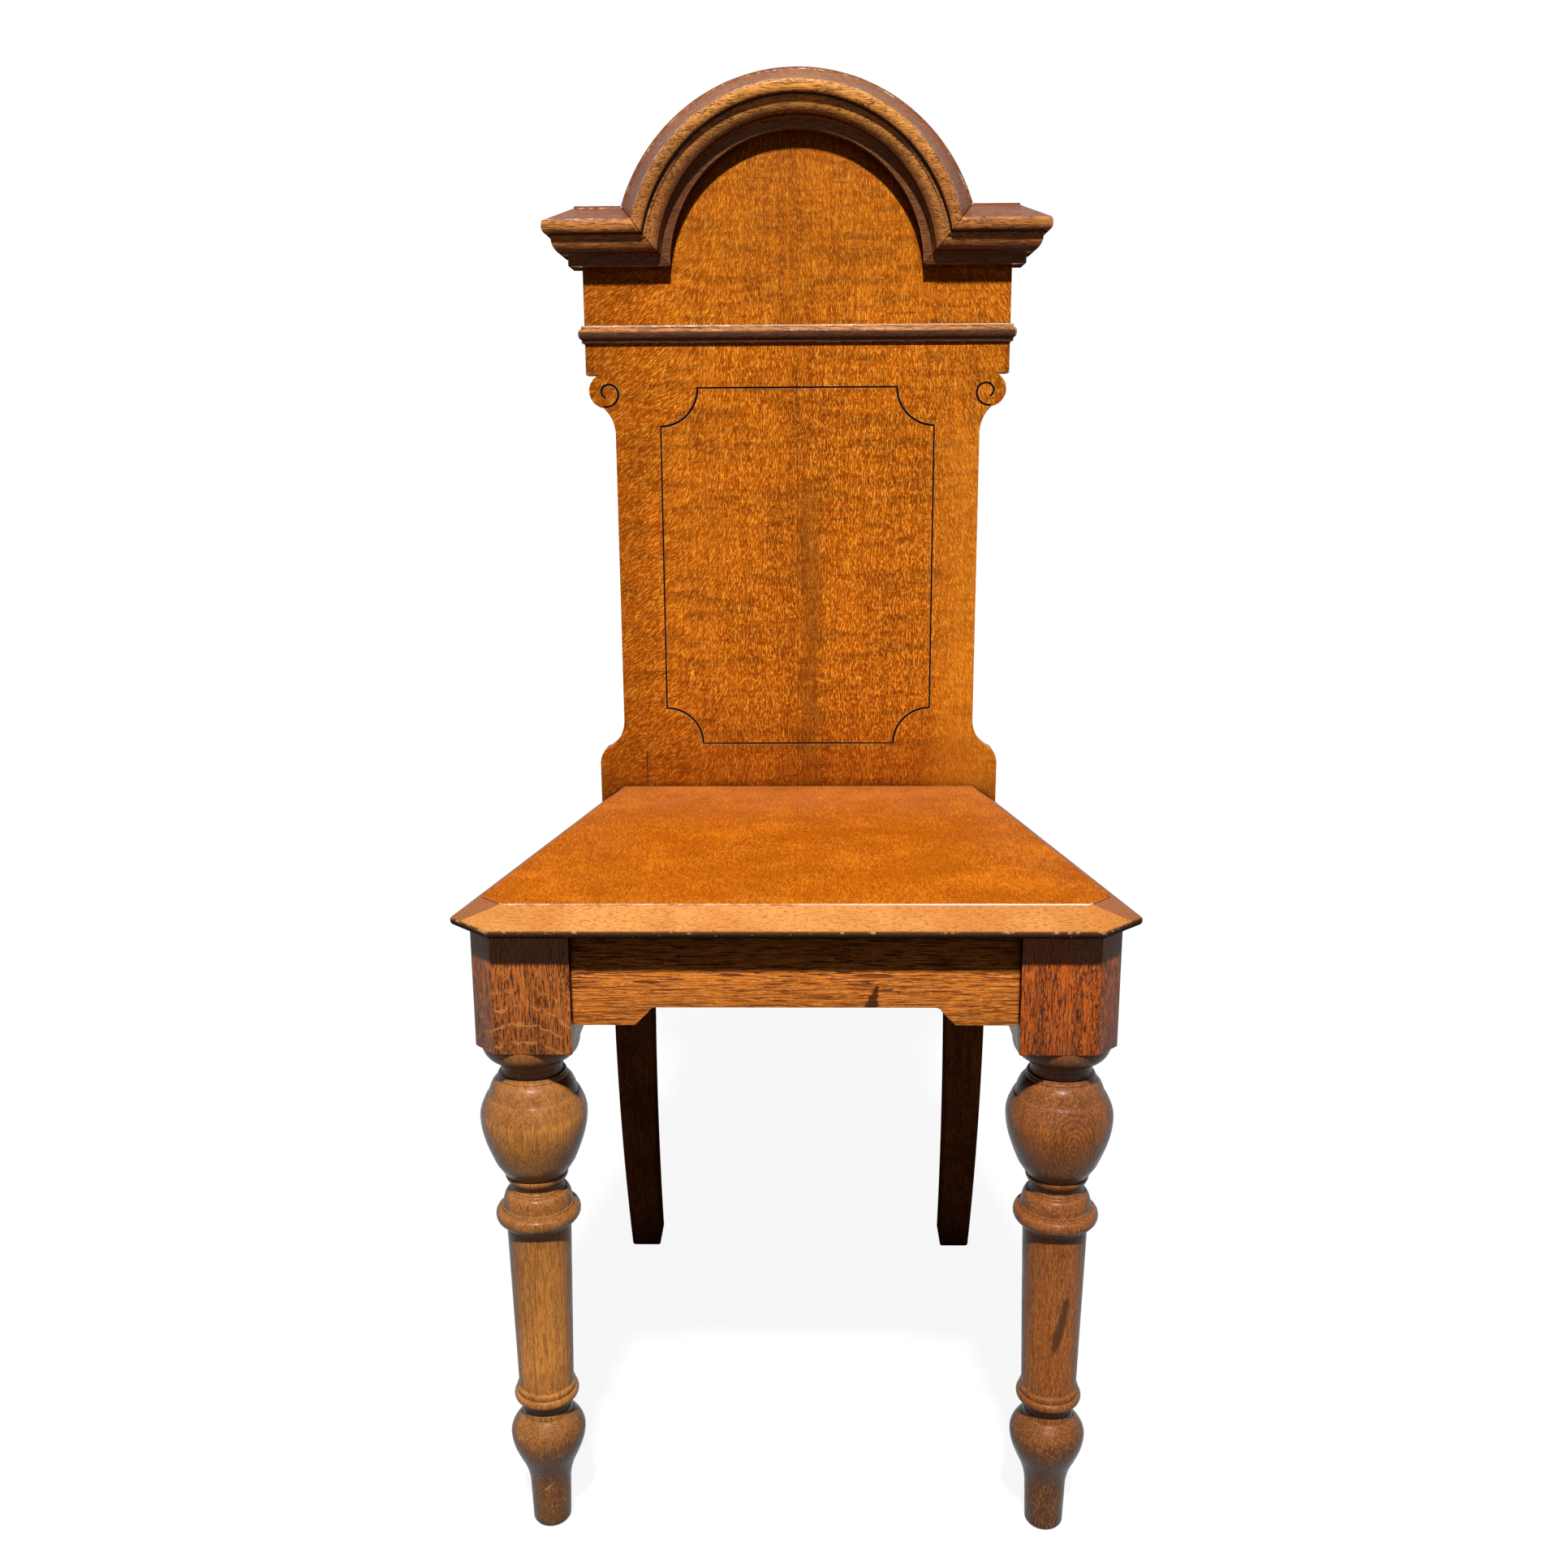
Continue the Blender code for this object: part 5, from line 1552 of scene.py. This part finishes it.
class Moulding(PlainBoard):
    """Polish is thin over the arch, edges carry painted white highlights broken like chips, quirks carry
    painted black shade, the lower parts carry painted shade and the top a painted sheen, mitres just show.
    """

    GROUNDS = (colour(0.54, 0.190, 0.042), colour(0.90, 0.370, 0.074))    # at the ears, over the arch
    # PLUM here is a painted sheen on the top of the section; the three colours below it paint shade lower
    # down.
    PLUM = colour(0.120, 0.034, 0.022)
    PAINTED_OVOLO_SHADE = colour(0.085, 0.022, 0.012)
    PAINTED_FILLET_SHADE = colour(0.050, 0.015, 0.008)
    PAINTED_STRING_SHADE = colour(0.030, 0.010, 0.007)
    CHIP = colour(0.80, 0.70, 0.60)
    STRING_GLINT = colour(0.92, 0.78, 0.66)
    GLINT_AND_CHIP_LEVELS = ((CORNICE_ROLL_TOP + 0.0002, 0.0007), (CORNICE_LIP_BOTTOM, 0.0006))
    LOWER_QUIRK = (CORNICE_FILLET_HEIGHT + CORNICE_OVOLO_START) / 2
    STRING_TOP = string_high.z + 0.001
    ARCH_FADE = (0.930, 0.985)
    MITRE_FADE = (0.0012, 0.0024)
    UPPER_SHEEN_FADE = (0.0310, 0.0328)
    OVOLO_FADE = (0.0165, 0.0110)
    FILLET_FADE = (0.0088, 0.0066)
    STRING_FADE = (string_low.z + 0.0100, string_low.z + 0.0075)
    STRING_TOP_FADE = (string_high.z - 0.0014, string_high.z - 0.0006)

    def section(self, tree, place):
        """How far up the section a point is, by the arch and by the level ears, and the lesser of the two."""
        x, y, z = parts(tree, place)
        rise = minus(tree, z, CORNICE_BOTTOM)
        squares = plus(tree, times(tree, x, x), times(tree, rise, rise))
        reach = minus(tree, calc(tree, "SQRT", squares), ARCH_INNER)
        return reach, rise, calc(tree, "MINIMUM", reach, rise)

    def bare(self, tree, place):
        reach, rise, up = self.section(tree, place)
        return spread(tree, off(tree, reach, rise), *self.MITRE_FADE)

    def figure(self, tree, place):
        x, y, z = parts(tree, place)
        thin = spread(tree, plus(tree, z, wander(tree, place, 0.10, 22.0, 3.0, 0.6)), *self.ARCH_FADE)
        return {"Ground": mix(tree, thin, *self.GROUNDS)}

    def marks(self, tree, shade, place):
        x, y, z = parts(tree, place)
        reach, rise, up = self.section(tree, place)
        # Painted sheen: plum on the top of the roll and the lip.
        shade = stain(tree, shade, spread(tree, up, *self.UPPER_SHEEN_FADE), 0.75, self.PLUM)
        # Painted shade on the lower half of the ovolo and on the fillet.
        on_cornice = above(tree, rise, 0.0)
        low = times(tree, spread(tree, up, *self.OVOLO_FADE), on_cornice)
        shade = stain(tree, shade, low, 0.42, self.PAINTED_OVOLO_SHADE)
        low = times(tree, spread(tree, up, *self.FILLET_FADE), on_cornice)
        shade = stain(tree, shade, low, 0.45, self.PAINTED_FILLET_SHADE)
        # Painted shade on the lower half of the string.
        low = times(tree, spread(tree, z, *self.STRING_FADE), below(tree, z, self.STRING_TOP))
        return stain(tree, shade, low, 0.85, self.PAINTED_STRING_SHADE)

    def joints(self, tree, shade, place):
        x, y, z = parts(tree, place)
        reach, rise, up = self.section(tree, place)
        chips = spread(tree, noise(tree, place, 300.0, 3.0, 0.7), 0.46, 0.62)
        chips = times(tree, chips, spread(tree, noise(tree, place, 34.0), 0.44, 0.60))
        # Painted highlights along the top of the roll and the lip, broken up like chips.
        for level, wide in self.GLINT_AND_CHIP_LEVELS:
            line = times(tree, spread(tree, off(tree, up, level), wide, wide / 3), chips)
            shade = stain(tree, shade, line, 0.65, self.CHIP)
        # Painted highlight along the top of the string.
        top = times(tree, spread(tree, z, *self.STRING_TOP_FADE), below(tree, z, self.STRING_TOP))
        top = times(tree, top, spread(tree, chips, 0.0, 1.0, 0.35, 0.90))
        shade = mix(tree, top, shade, self.STRING_GLINT)
        # Painted shade: black in the quirks under the square and under the ovolo; the last line only darkens
        # the mitre.
        for value, middle, wide, narrow, depth in (
            (up, CORNICE_SQUARE_TOP, 0.0011, 0.0004, 0.92),
            (up, self.LOWER_QUIRK, 0.0012, 0.0005, 0.85),
            (reach, rise, 0.0007, 0.0002, 0.22),
        ):
            line = spread(tree, off(tree, value, middle), wide, narrow, 0.0, depth)
            shade = mix(tree, line, shade, DARK_POLISH_AND_SHADE)
        return shade


class LegBoard(PlainBoard):
    """A leg's block and turning differ in colour, and its foot is dark from the broom and the mop."""

    MOPPED = colour(0.075, 0.028, 0.010)
    COLLAR = colour(0.150, 0.048, 0.022)
    ARC = colour(0.58, 0.22, 0.06)
    LOOP = colour(0.09, 0.025, 0.006)
    EYE = colour(0.045, 0.014, 0.005)
    SCRAPED = colour(0.52, 0.34, 0.20)
    BLOCK_BOTTOM = SEAT_UNDER - BLOCK_HEIGHT
    MOP_FADE = (0.125, 0.060)
    SCRAPE_FADE = (0.110, 0.030)
    SHAFT_FADE = (0.236, 0.230, 0.0, 0.10)
    COLLAR_FADE = (0.315, 0.320)
    RING_FADES = ((0.232, 0.238), (0.270, 0.264))
    GRAIN_FADE = (0.4, 0.6, 0.45, 0.95)       # on the turning, on the block
    ARCS_TOP_FADE = (0.420, 0.400)
    LOOPS_TOP = 0.345
    LOOPS_FADE = (0.024, 0.012)
    LOOPS_SQUASH = 0.55
    BOWL_CURVE = 14.0
    ARCS_A_METRE = 520.0 / math.tau
    LOOPS_A_METRE = 2600.0 / math.tau
    LOOP_MIDDLE = (0.004, 0.300)
    LENS_MIDDLE = (0.003, 0.166)
    LENS_HALF = (0.0040, 0.026)
    LENS_LEAN = 0.22

    def __init__(self, turning, block, arcs=0.0, loops=0.0, lens=0.0):
        self.turning = turning
        self.block = block
        self.arcs = arcs
        self.loops = loops
        self.lens = lens

    def figure(self, tree, place):
        x, y, z = parts(tree, place)
        low = spread(tree, plus(tree, z, wander(tree, place, 0.09, 30.0, 3.0, 0.6)), *self.MOP_FADE)
        block = above(tree, z, self.BLOCK_BOTTOM)
        grain = spread(tree, block, *self.GRAIN_FADE)
        ground = stain(tree, self.turning, low, 0.80, self.MOPPED)
        ground = mix(tree, spread(tree, z, *self.SHAFT_FADE), ground, self.COLLAR)
        ground = stain(tree, ground, spread(tree, z, *self.COLLAR_FADE), 0.55, self.COLLAR)
        lower, upper = self.RING_FADES
        ring = times(tree, spread(tree, z, *lower), spread(tree, z, *upper))
        ground = stain(tree, ground, ring, 0.45, self.COLLAR)
        return {"Ground": mix(tree, block, ground, self.block), "Grain": grain, "Pores": grain}

    def marks(self, tree, shade, place):
        x, y, z = parts(tree, place)
        side = minus(tree, calc(tree, "ABSOLUTE", x), LEG_X)
        wavy = minus(tree, noise(tree, place, 120.0), 0.5)
        if self.arcs:
            shade = self.pale_arcs(tree, shade, side, z, wavy)
        if self.loops:
            shade = self.growth_loops(tree, shade, side, z, wavy)
        if self.lens:
            shade = self.dark_lens(tree, shade, side, y, z, wavy)
        scraped = use(tree, GROUPS["scuffs"], Vector=place, Scratches=0.9, Specks=1.0)["Mask"]
        scraped = times(tree, scraped, spread(tree, z, *self.SCRAPE_FADE))
        return stain(tree, shade, scraped, 0.7, self.SCRAPED)

    def pale_arcs(self, tree, shade, side, z, wavy):
        """Bowl-shaped bands on the block."""
        bowl = times(tree, times(tree, side, side), self.BOWL_CURVE)
        height = plus(tree, plus(tree, z, bowl), times(tree, wavy, 0.016))
        bands = calc(tree, "SINE", times(tree, height, self.ARCS_A_METRE * math.tau))
        arcs = times(tree, spread(tree, bands, 0.76, 0.94), spread(tree, wavy, -0.09, 0.05))
        arcs = times(tree, arcs, above(tree, z, self.BLOCK_BOTTOM))
        arcs = times(tree, arcs, spread(tree, z, *self.ARCS_TOP_FADE))
        return stain(tree, shade, arcs, self.arcs, self.ARC)

    def growth_loops(self, tree, shade, side, z, wavy):
        """Long rings, one in another, where the turning cuts across the growth rings."""
        width = minus(tree, side, self.LOOP_MIDDLE[0])
        rise = times(tree, minus(tree, z, self.LOOP_MIDDLE[1]), self.LOOPS_SQUASH)
        squares = plus(tree, times(tree, width, width), times(tree, rise, rise))
        reach = plus(tree, calc(tree, "SQRT", squares), times(tree, wavy, 0.006))
        rings = calc(tree, "SINE", times(tree, reach, self.LOOPS_A_METRE * math.tau))
        rings = times(tree, spread(tree, rings, 0.10, 0.75), spread(tree, reach, *self.LOOPS_FADE))
        rings = times(tree, rings, below(tree, z, self.LOOPS_TOP))
        return stain(tree, shade, rings, self.loops, self.LOOP)

    def dark_lens(self, tree, shade, side, y, z, wavy):
        """A leaning dark eye on the front of the shaft."""
        height = minus(tree, z, self.LENS_MIDDLE[1])
        lean = minus(tree, side, times(tree, height, self.LENS_LEAN))
        across = calc(tree, "DIVIDE", minus(tree, lean, self.LENS_MIDDLE[0]), self.LENS_HALF[0])
        along = calc(tree, "DIVIDE", height, self.LENS_HALF[1])
        squares = plus(tree, calc(tree, "POWER", across, 2.0), calc(tree, "POWER", along, 2.0))
        reach = plus(tree, squares, times(tree, wavy, 1.4))
        eye = times(tree, spread(tree, reach, 1.2, 0.3), below(tree, y, LEG_Y))
        return stain(tree, shade, eye, self.lens, self.EYE)


# Finishes and materials

GRAIN_TURNS = {"z": (0.0, 0.0, 0.0), "x": (0.0, -math.pi / 2, 0.0), "y": (math.pi / 2, 0.0, 0.0)}
RELIEF = 0.0002


def oak_material(name, finish, board=PlainBoard()):
    """One board's finish: its figure, its rubbed edges, gathered polish and painted shade in its corners and
    under overhangs, and its polish.
    """
    material = bpy.data.materials.new(name)
    material.use_nodes = True
    tree = material.node_tree
    shader = tree.nodes["Principled BSDF"]
    place = tree.nodes.new("ShaderNodeTexCoord").outputs["Object"]
    mapping = tree.nodes.new("ShaderNodeMapping")
    mapping.inputs["Rotation"].default_value = GRAIN_TURNS[finish["grain"]]
    mapping.inputs["Location"].default_value = finish["place"]
    if finish.get("matched"):
        mapping.inputs["Scale"].default_value = (-1.0, 1.0, 1.0)
    fill(tree, mapping.inputs["Vector"], place)
    amounts = dict(finish["figure"], **board.figure(tree, place))
    figure = use(tree, GROUPS["oak"], Vector=mapping.outputs["Vector"], **amounts)
    shade = board.marks(tree, figure["Color"], place)
    scuffs = use(tree, GROUPS["scuffs"], Vector=place, Scratches=finish["scratches"], Specks=finish["specks"])
    shade = mix(tree, scuffs["Mask"], shade, finish["worn"])
    rubbed = use(tree, GROUPS["wear"], Vector=place, Radius=finish["edge"], Amount=finish["wear"])["Mask"]
    shade = stain(tree, shade, rubbed, board.bare(tree, place), finish["worn"])
    shade = board.joints(tree, shade, place)
    # Painted shade, with some gathered polish: corners, quirks and the undersides of overhangs turn dark.
    settled_and_shaded = use(tree, GROUPS["polish_and_shade"], Vector=place, Distance=finish["corner"], Amount=finish["polish_and_shade"])
    shade = mix(tree, settled_and_shaded["Mask"], shade, DARK_POLISH_AND_SHADE)
    # Painted shade: the colour darkens where the surface turns away from the camera, so the turnings' sides
    # look shaded.
    if finish.get("sides"):
        facing = tree.nodes.new("ShaderNodeLayerWeight")
        facing.inputs["Blend"].default_value = 0.5
        thick = spread(tree, facing.outputs["Facing"], 0.34, 0.90, 0.0, finish["sides"])
        shade = mix(tree, thick, shade, DARK_POLISH_AND_SHADE)
    fill(tree, shader.inputs["Base Color"], shade)
    smears = noise(tree, place, 38.0, 4.0, 0.6)
    rough = spread(tree, smears, 0.3, 0.7, finish["rough"] - 0.06, finish["rough"] + 0.10)
    rough = plus(tree, rough, times(tree, figure["Polish"], 0.2), clamp=True)
    fill(tree, shader.inputs["Roughness"], rough)
    height = plus(tree, figure["Height"], scuffs["Height"])
    if finish.get("uneven"):
        waves = noise(tree, place, 420.0, 3.0, 0.6)
        height = plus(tree, height, times(tree, waves, finish["uneven"]))
    bump = tree.nodes.new("ShaderNodeBump")
    bump.inputs["Strength"].default_value = finish["relief"]
    bump.inputs["Distance"].default_value = RELIEF
    fill(tree, bump.inputs["Height"], height)
    fill(tree, shader.inputs["Normal"], bump.outputs["Normal"])
    shader.inputs["Specular IOR Level"].default_value = finish["shine"]
    return material


def finishes():
    """Each board's grain, colours and wear."""
    worn = colour(0.62, 0.34, 0.15)
    # The back's corner reach and amount set its painted shade under the cornice.
    back = dict(
        grain="z", place=(0.31, 0.0, 0.13), worn=worn, rough=0.34, shine=0.03, relief=0.5,
        edge=0.0010, wear=0.5, corner=0.012, polish_and_shade=0.9, scratches=0.05, specks=0.10,
        figure=dict(
            Ground=colour(0.44, 0.090, 0.0015), Pale=colour(1.0, 0.380, 0.032),
            Dark=colour(0.11, 0.018, 0.002), Rings=0.06, Grain=0.34, Flecks=0.85, Ripple=0.60, Tone=0.25,
        ),
    )
    seat = dict(
        grain="y", place=(0.7, 0.2, 0.0), worn=colour(0.80, 0.50, 0.28), rough=0.42, shine=0.005,
        relief=0.2, edge=0.0009, wear=0.6, corner=0.008, polish_and_shade=0.7, scratches=0.10, specks=0.4,
        figure=dict(
            Ground=colour(0.325, 0.064, 0.001), Pale=colour(0.66, 0.185, 0.010),
            Dark=colour(0.18, 0.032, 0.002), Rings=0.05, Grain=0.25, Pores=0.35, Flecks=0.15, Ripple=0.15,
            Tone=0.25,
        ),
    )
    # The mouldings' near-white worn colour makes their rubbed edges a painted highlight as well as wear.
    moulding = dict(
        grain="x", place=(0.2, 0.4, 0.1), worn=colour(0.82, 0.62, 0.46), rough=0.26, shine=0.09, relief=0.6,
        edge=0.0006, wear=0.8, uneven=0.15, corner=0.012, polish_and_shade=1.0, scratches=0.05, specks=0.15,
        figure=dict(
            Pale=colour(0.62, 0.27, 0.060), Dark=colour(0.040, 0.010, 0.004),
            Rings=0.22, Grain=0.75, Pores=0.85, Flecks=0.35, Ripple=0.05, Tone=0.36,
        ),
    )
    # The rail's wide corner reach paints deep shade along its top, under the seat.
    rail = dict(
        moulding, place=(0.9, 0.1, 0.2), worn=worn, shine=0.02, wear=0.4, corner=0.035, polish_and_shade=1.2,
        figure=dict(
            Ground=colour(0.90, 0.250, 0.026), Pale=colour(1.0, 0.55, 0.18),
            Dark=colour(0.085, 0.020, 0.006), Rings=0.0, Grain=0.20, Pores=0.35, Flecks=0.35, Ripple=0.0,
            Tone=0.08,
        ),
    )
    # On the legs, sides sets the painted shade on the turnings' sides.
    leg = dict(
        moulding, grain="z", worn=colour(0.62, 0.40, 0.25), rough=0.25, shine=0.14, wear=0.5, sides=0.94,
        uneven=0.07,
        figure=dict(
            Pale=colour(0.62, 0.26, 0.070), Dark=colour(0.050, 0.013, 0.004),
            Rings=0.30, Flecks=0.35, Ripple=0.06, Tone=0.40,
        ),
    )
    rear = dict(
        moulding, grain="z", place=(0.1, 0.9, 0.4), worn=colour(0.20, 0.09, 0.04), rough=0.50, shine=0.0,
        wear=0.4, polish_and_shade=0.6,
        figure=dict(
            Size=1.4, Ground=colour(0.480, 0.135, 0.036), Pale=colour(0.55, 0.20, 0.08),
            Dark=colour(0.050, 0.016, 0.007), Rings=0.4, Grain=0.5, Pores=0.6, Flecks=0.1, Ripple=0.05,
            Tone=0.6,
        ),
    )
    pine = dict(
        moulding, place=(0.4, 0.8, 0.1), worn=colour(0.42, 0.28, 0.15), rough=0.70, shine=0.0, wear=0.3,
        polish_and_shade=0.6,
        figure=dict(
            Size=2.5, Ground=colour(0.34, 0.19, 0.085), Pale=colour(0.45, 0.28, 0.13),
            Dark=colour(0.16, 0.08, 0.03), Rings=0.6, Grain=0.1, Pores=0.1, Flecks=0.0, Ripple=0.0, Tone=0.5,
        ),
    )
    return back, seat, moulding, rail, leg, rear, pine


def make_steel():
    steel = bpy.data.materials.new("dull steel")
    steel.use_nodes = True
    tree = steel.node_tree
    shader = tree.nodes["Principled BSDF"]
    place = tree.nodes.new("ShaderNodeTexCoord").outputs["Object"]
    tarnish = noise(tree, place, 900.0, 4.0, 0.6)
    shade = mix(tree, spread(tree, tarnish, 0.35, 0.65), colour(0.22, 0.20, 0.18), colour(0.08, 0.06, 0.045))
    fill(tree, shader.inputs["Base Color"], shade)
    fill(tree, shader.inputs["Roughness"], spread(tree, tarnish, 0.3, 0.7, 0.35, 0.6))
    shader.inputs["Metallic"].default_value = 1.0
    return steel


def make_materials():
    back, seat, moulding, rail, leg, rear, pine = finishes()
    made = {"steel": make_steel(), "pine": oak_material("old pine", pine)}
    for side, matched in (("left", True), ("right", False)):
        own = dict(back, matched=matched, place=(0.53, 0.0, 0.36) if matched else back["place"])
        made["back_" + side] = oak_material("back oak " + side, own, BackBoard())
        made["seat_" + side] = oak_material("seat oak " + side, dict(seat, matched=matched), SeatBoard())
    made["moulding"] = oak_material("moulding oak", moulding, Moulding())
    along = dict(moulding, grain="y", place=(0.5, 0.1, 0.3), shine=0.0)
    made["moulding_return"] = oak_material("moulding return oak", along, Moulding())
    made["rail"] = oak_material("rail oak", rail, RailBoard())
    left = LegBoard(colour(0.74, 0.285, 0.052), colour(0.50, 0.125, 0.016), arcs=0.8)
    right = LegBoard(colour(0.36, 0.100, 0.013), colour(0.57, 0.100, 0.006), loops=0.6, lens=0.8)
    made["leg_left"] = oak_material("leg oak left", dict(leg, place=(0.3, 0.6, 0.0)), left)
    made["leg_right"] = oak_material("leg oak right", dict(leg, place=(0.8, 0.6, 0.0)), right)
    made["rear"] = oak_material("rear oak", rear)
    made["side_rail"] = oak_material("side rail oak", dict(rear, grain="y", place=(0.6, 0.3, 0.4)))
    made["back_rail"] = oak_material("back rail oak", dict(rear, grain="x", place=(0.2, 0.3, 0.7)))
    return made


# Stage: floor, lights and camera

CAMERA_BACK = 0.867      # in front of the leg blocks' front plane
CAMERA_SIDE = 0.0087
CAMERA_HEIGHT = 0.7417
CAMERA_PITCH = math.radians(12.705)
CAMERA_YAW = math.radians(0.991)
CAMERA_ROLL = math.radians(-0.291)
PHOTO_WIDTH = 1932.0
FOCAL_PIXELS = 1787.0
SENSOR = 36.0
CLIP_START = 0.02
WHITE = colour(1.0, 1.0, 1.0)
FLOOR_SIZE = 16.0
FLOOR_GREY = colour(0.06, 0.06, 0.06)
FLOOR_GLOW = (0.5, 2.2, 0.92, 1.0)      # from this far to that far away, from this bright to that bright
AMBIENT = 0.012
KEY = dict(
    place=(0.0, -4.53, 7.20), target=(0.0, 0.0, 0.55), size=0.45, power=1150.0, tint=(1.0, 0.99, 0.975),
)
FILL = dict(place=(1.6, -2.6, 1.2), target=(0.0, 0.0, 0.5), size=1.6, power=0.5)


def make_camera():
    place = Vector((CAMERA_SIDE, LEG_Y - BLOCK_HALF - CAMERA_BACK, CAMERA_HEIGHT))
    set_aside()
    bpy.ops.object.camera_add()
    camera = bpy.context.object
    camera.data.sensor_width = SENSOR
    camera.data.lens = FOCAL_PIXELS / PHOTO_WIDTH * SENSOR
    turn = Matrix.Rotation(CAMERA_YAW, 4, "Z") @ Matrix.Rotation(math.pi / 2 - CAMERA_PITCH, 4, "X")
    camera.matrix_world = Matrix.Translation(place) @ turn @ Matrix.Rotation(CAMERA_ROLL, 4, "Z")
    camera.data.clip_start = CLIP_START
    bpy.context.scene.camera = camera


def background_seen(tree):
    """One for the rays that show the white background: camera, mirror and glass."""
    path = tree.nodes.new("ShaderNodeLightPath").outputs
    seen = calc(tree, "MAXIMUM", path["Is Camera Ray"], path["Is Glossy Ray"])
    return calc(tree, "MAXIMUM", seen, path["Is Transmission Ray"])


def make_floor():
    set_aside()
    bpy.ops.mesh.primitive_plane_add(size=FLOOR_SIZE, location=(0.0, 0.0, -GAP))
    floor = bpy.context.object
    floor.name = "floor"
    material = bpy.data.materials.new("pale floor")
    material.use_nodes = True
    tree = material.node_tree
    shader = tree.nodes["Principled BSDF"]
    shader.inputs["Base Color"].default_value = FLOOR_GREY
    shader.inputs["Roughness"].default_value = 0.9
    shader.inputs["Specular IOR Level"].default_value = 0.1
    shader.inputs["Emission Color"].default_value = WHITE
    place = tree.nodes.new("ShaderNodeTexCoord").outputs["Object"]
    glow = spread(tree, vectors(tree, "LENGTH", place)["Value"], *FLOOR_GLOW)
    fill(tree, shader.inputs["Emission Strength"], times(tree, glow, background_seen(tree)))
    floor.data.materials.append(material)


def add_lamp(name, place, target, size, power, tint=(1.0, 1.0, 1.0)):
    set_aside()
    bpy.ops.object.light_add(type="AREA", location=place)
    lamp = bpy.context.object
    lamp.name = name
    lamp.data.shape = "DISK"
    lamp.data.size = size
    lamp.data.energy = power
    lamp.data.color = tint
    aim = Vector(target) - Vector(place)
    lamp.rotation_mode = "QUATERNION"
    lamp.rotation_quaternion = aim.to_track_quat("-Z", "Y")


def make_lights():
    add_lamp("key", **KEY)
    add_lamp("fill", **FILL)
    world = bpy.data.worlds.new("studio")
    bpy.context.scene.world = world
    world.use_nodes = True
    tree = world.node_tree
    tree.nodes.clear()
    both = tree.nodes.new("ShaderNodeMixShader")
    fill(tree, both.inputs[0], background_seen(tree))
    for socket, strength in ((1, AMBIENT), (2, 1.0)):
        background = tree.nodes.new("ShaderNodeBackground")
        background.inputs["Color"].default_value = WHITE
        background.inputs["Strength"].default_value = strength
        fill(tree, both.inputs[socket], background.outputs[0])
    out = tree.nodes.new("ShaderNodeOutputWorld")
    fill(tree, out.inputs[0], both.outputs[0])


def make_chair():
    make_groups()
    finish = make_materials()
    for piece, side in zip(make_seat(), SIDES):
        hand_over(piece, "seat_oak", finish["seat_" + side], "seat_board_" + side)
    for piece, side in zip(make_back(), SIDES):
        hand_over(piece, "back_oak", finish["back_" + side], "back_board_" + side)
    hand_over(make_arch(), "moulding_oak", finish["moulding"], "cornice_arch")
    ear = make_ear()
    cornice_side = make_return("cornice_side_right", cornice_section(), CORNICE_BOTTOM)
    string_side = make_return("string_side_right", string_section(), string_low.z)
    for piece, kind, node in (
        (ear, "moulding", "cornice_ear_"),
        (cornice_side, "moulding_return", "cornice_return_"),
        (string_side, "moulding_return", "string_return_"),
    ):
        left = smooth(other_side(piece, piece.name.replace("right", "left")))
        hand_over(piece, "moulding_oak", finish[kind], node + "right")
        hand_over(left, "moulding_oak", finish[kind], node + "left")
    hand_over(make_string(), "moulding_oak", finish["moulding"], "string_front")
    for piece, side in zip(make_front_leg(), SIDES):
        hand_over(piece, "leg_oak", finish["leg_" + side], "front_leg_" + side)
    hand_over(make_front_rail(), "leg_oak", finish["rail"], "front_rail")
    for piece, side in zip(make_side_rail(), SIDES):
        hand_over(piece, "rear_oak", finish["side_rail"], "side_rail_" + side)
    screws = [name for name in sorted(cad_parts) if name.startswith("screw_")]
    rail = make_back_rail()
    countersink(rail, [name for name in screws if "_rail_" in name])
    hand_over(smooth(rail), "rear_oak", finish["back_rail"], "back_rail")
    rear = make_rear_leg()
    rear_left = smooth(other_side(rear, "rear_left"))
    for piece, side in ((rear, "right"), (rear_left, "left")):
        own = [name for name in screws if "_rail_" not in name and name.endswith(side)]
        countersink(piece, own)
        hand_over(smooth(piece), "rear_oak", finish["rear"], "rear_leg_" + side)
    for node in screws:
        piece = make_screw(node.replace("screw_", "wood_screw_"), node)
        hand_over(piece, "screw_steel", finish["steel"], node)
    for node in sorted(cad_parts):
        if node.startswith("glue_block_"):
            hand_over(make_glue_block(node), "block_pine", finish["pine"], node)


make_camera()
make_floor()
make_lights()
make_chair()
set_aside()
bpy.context.scene.view_settings.view_transform = "Standard"
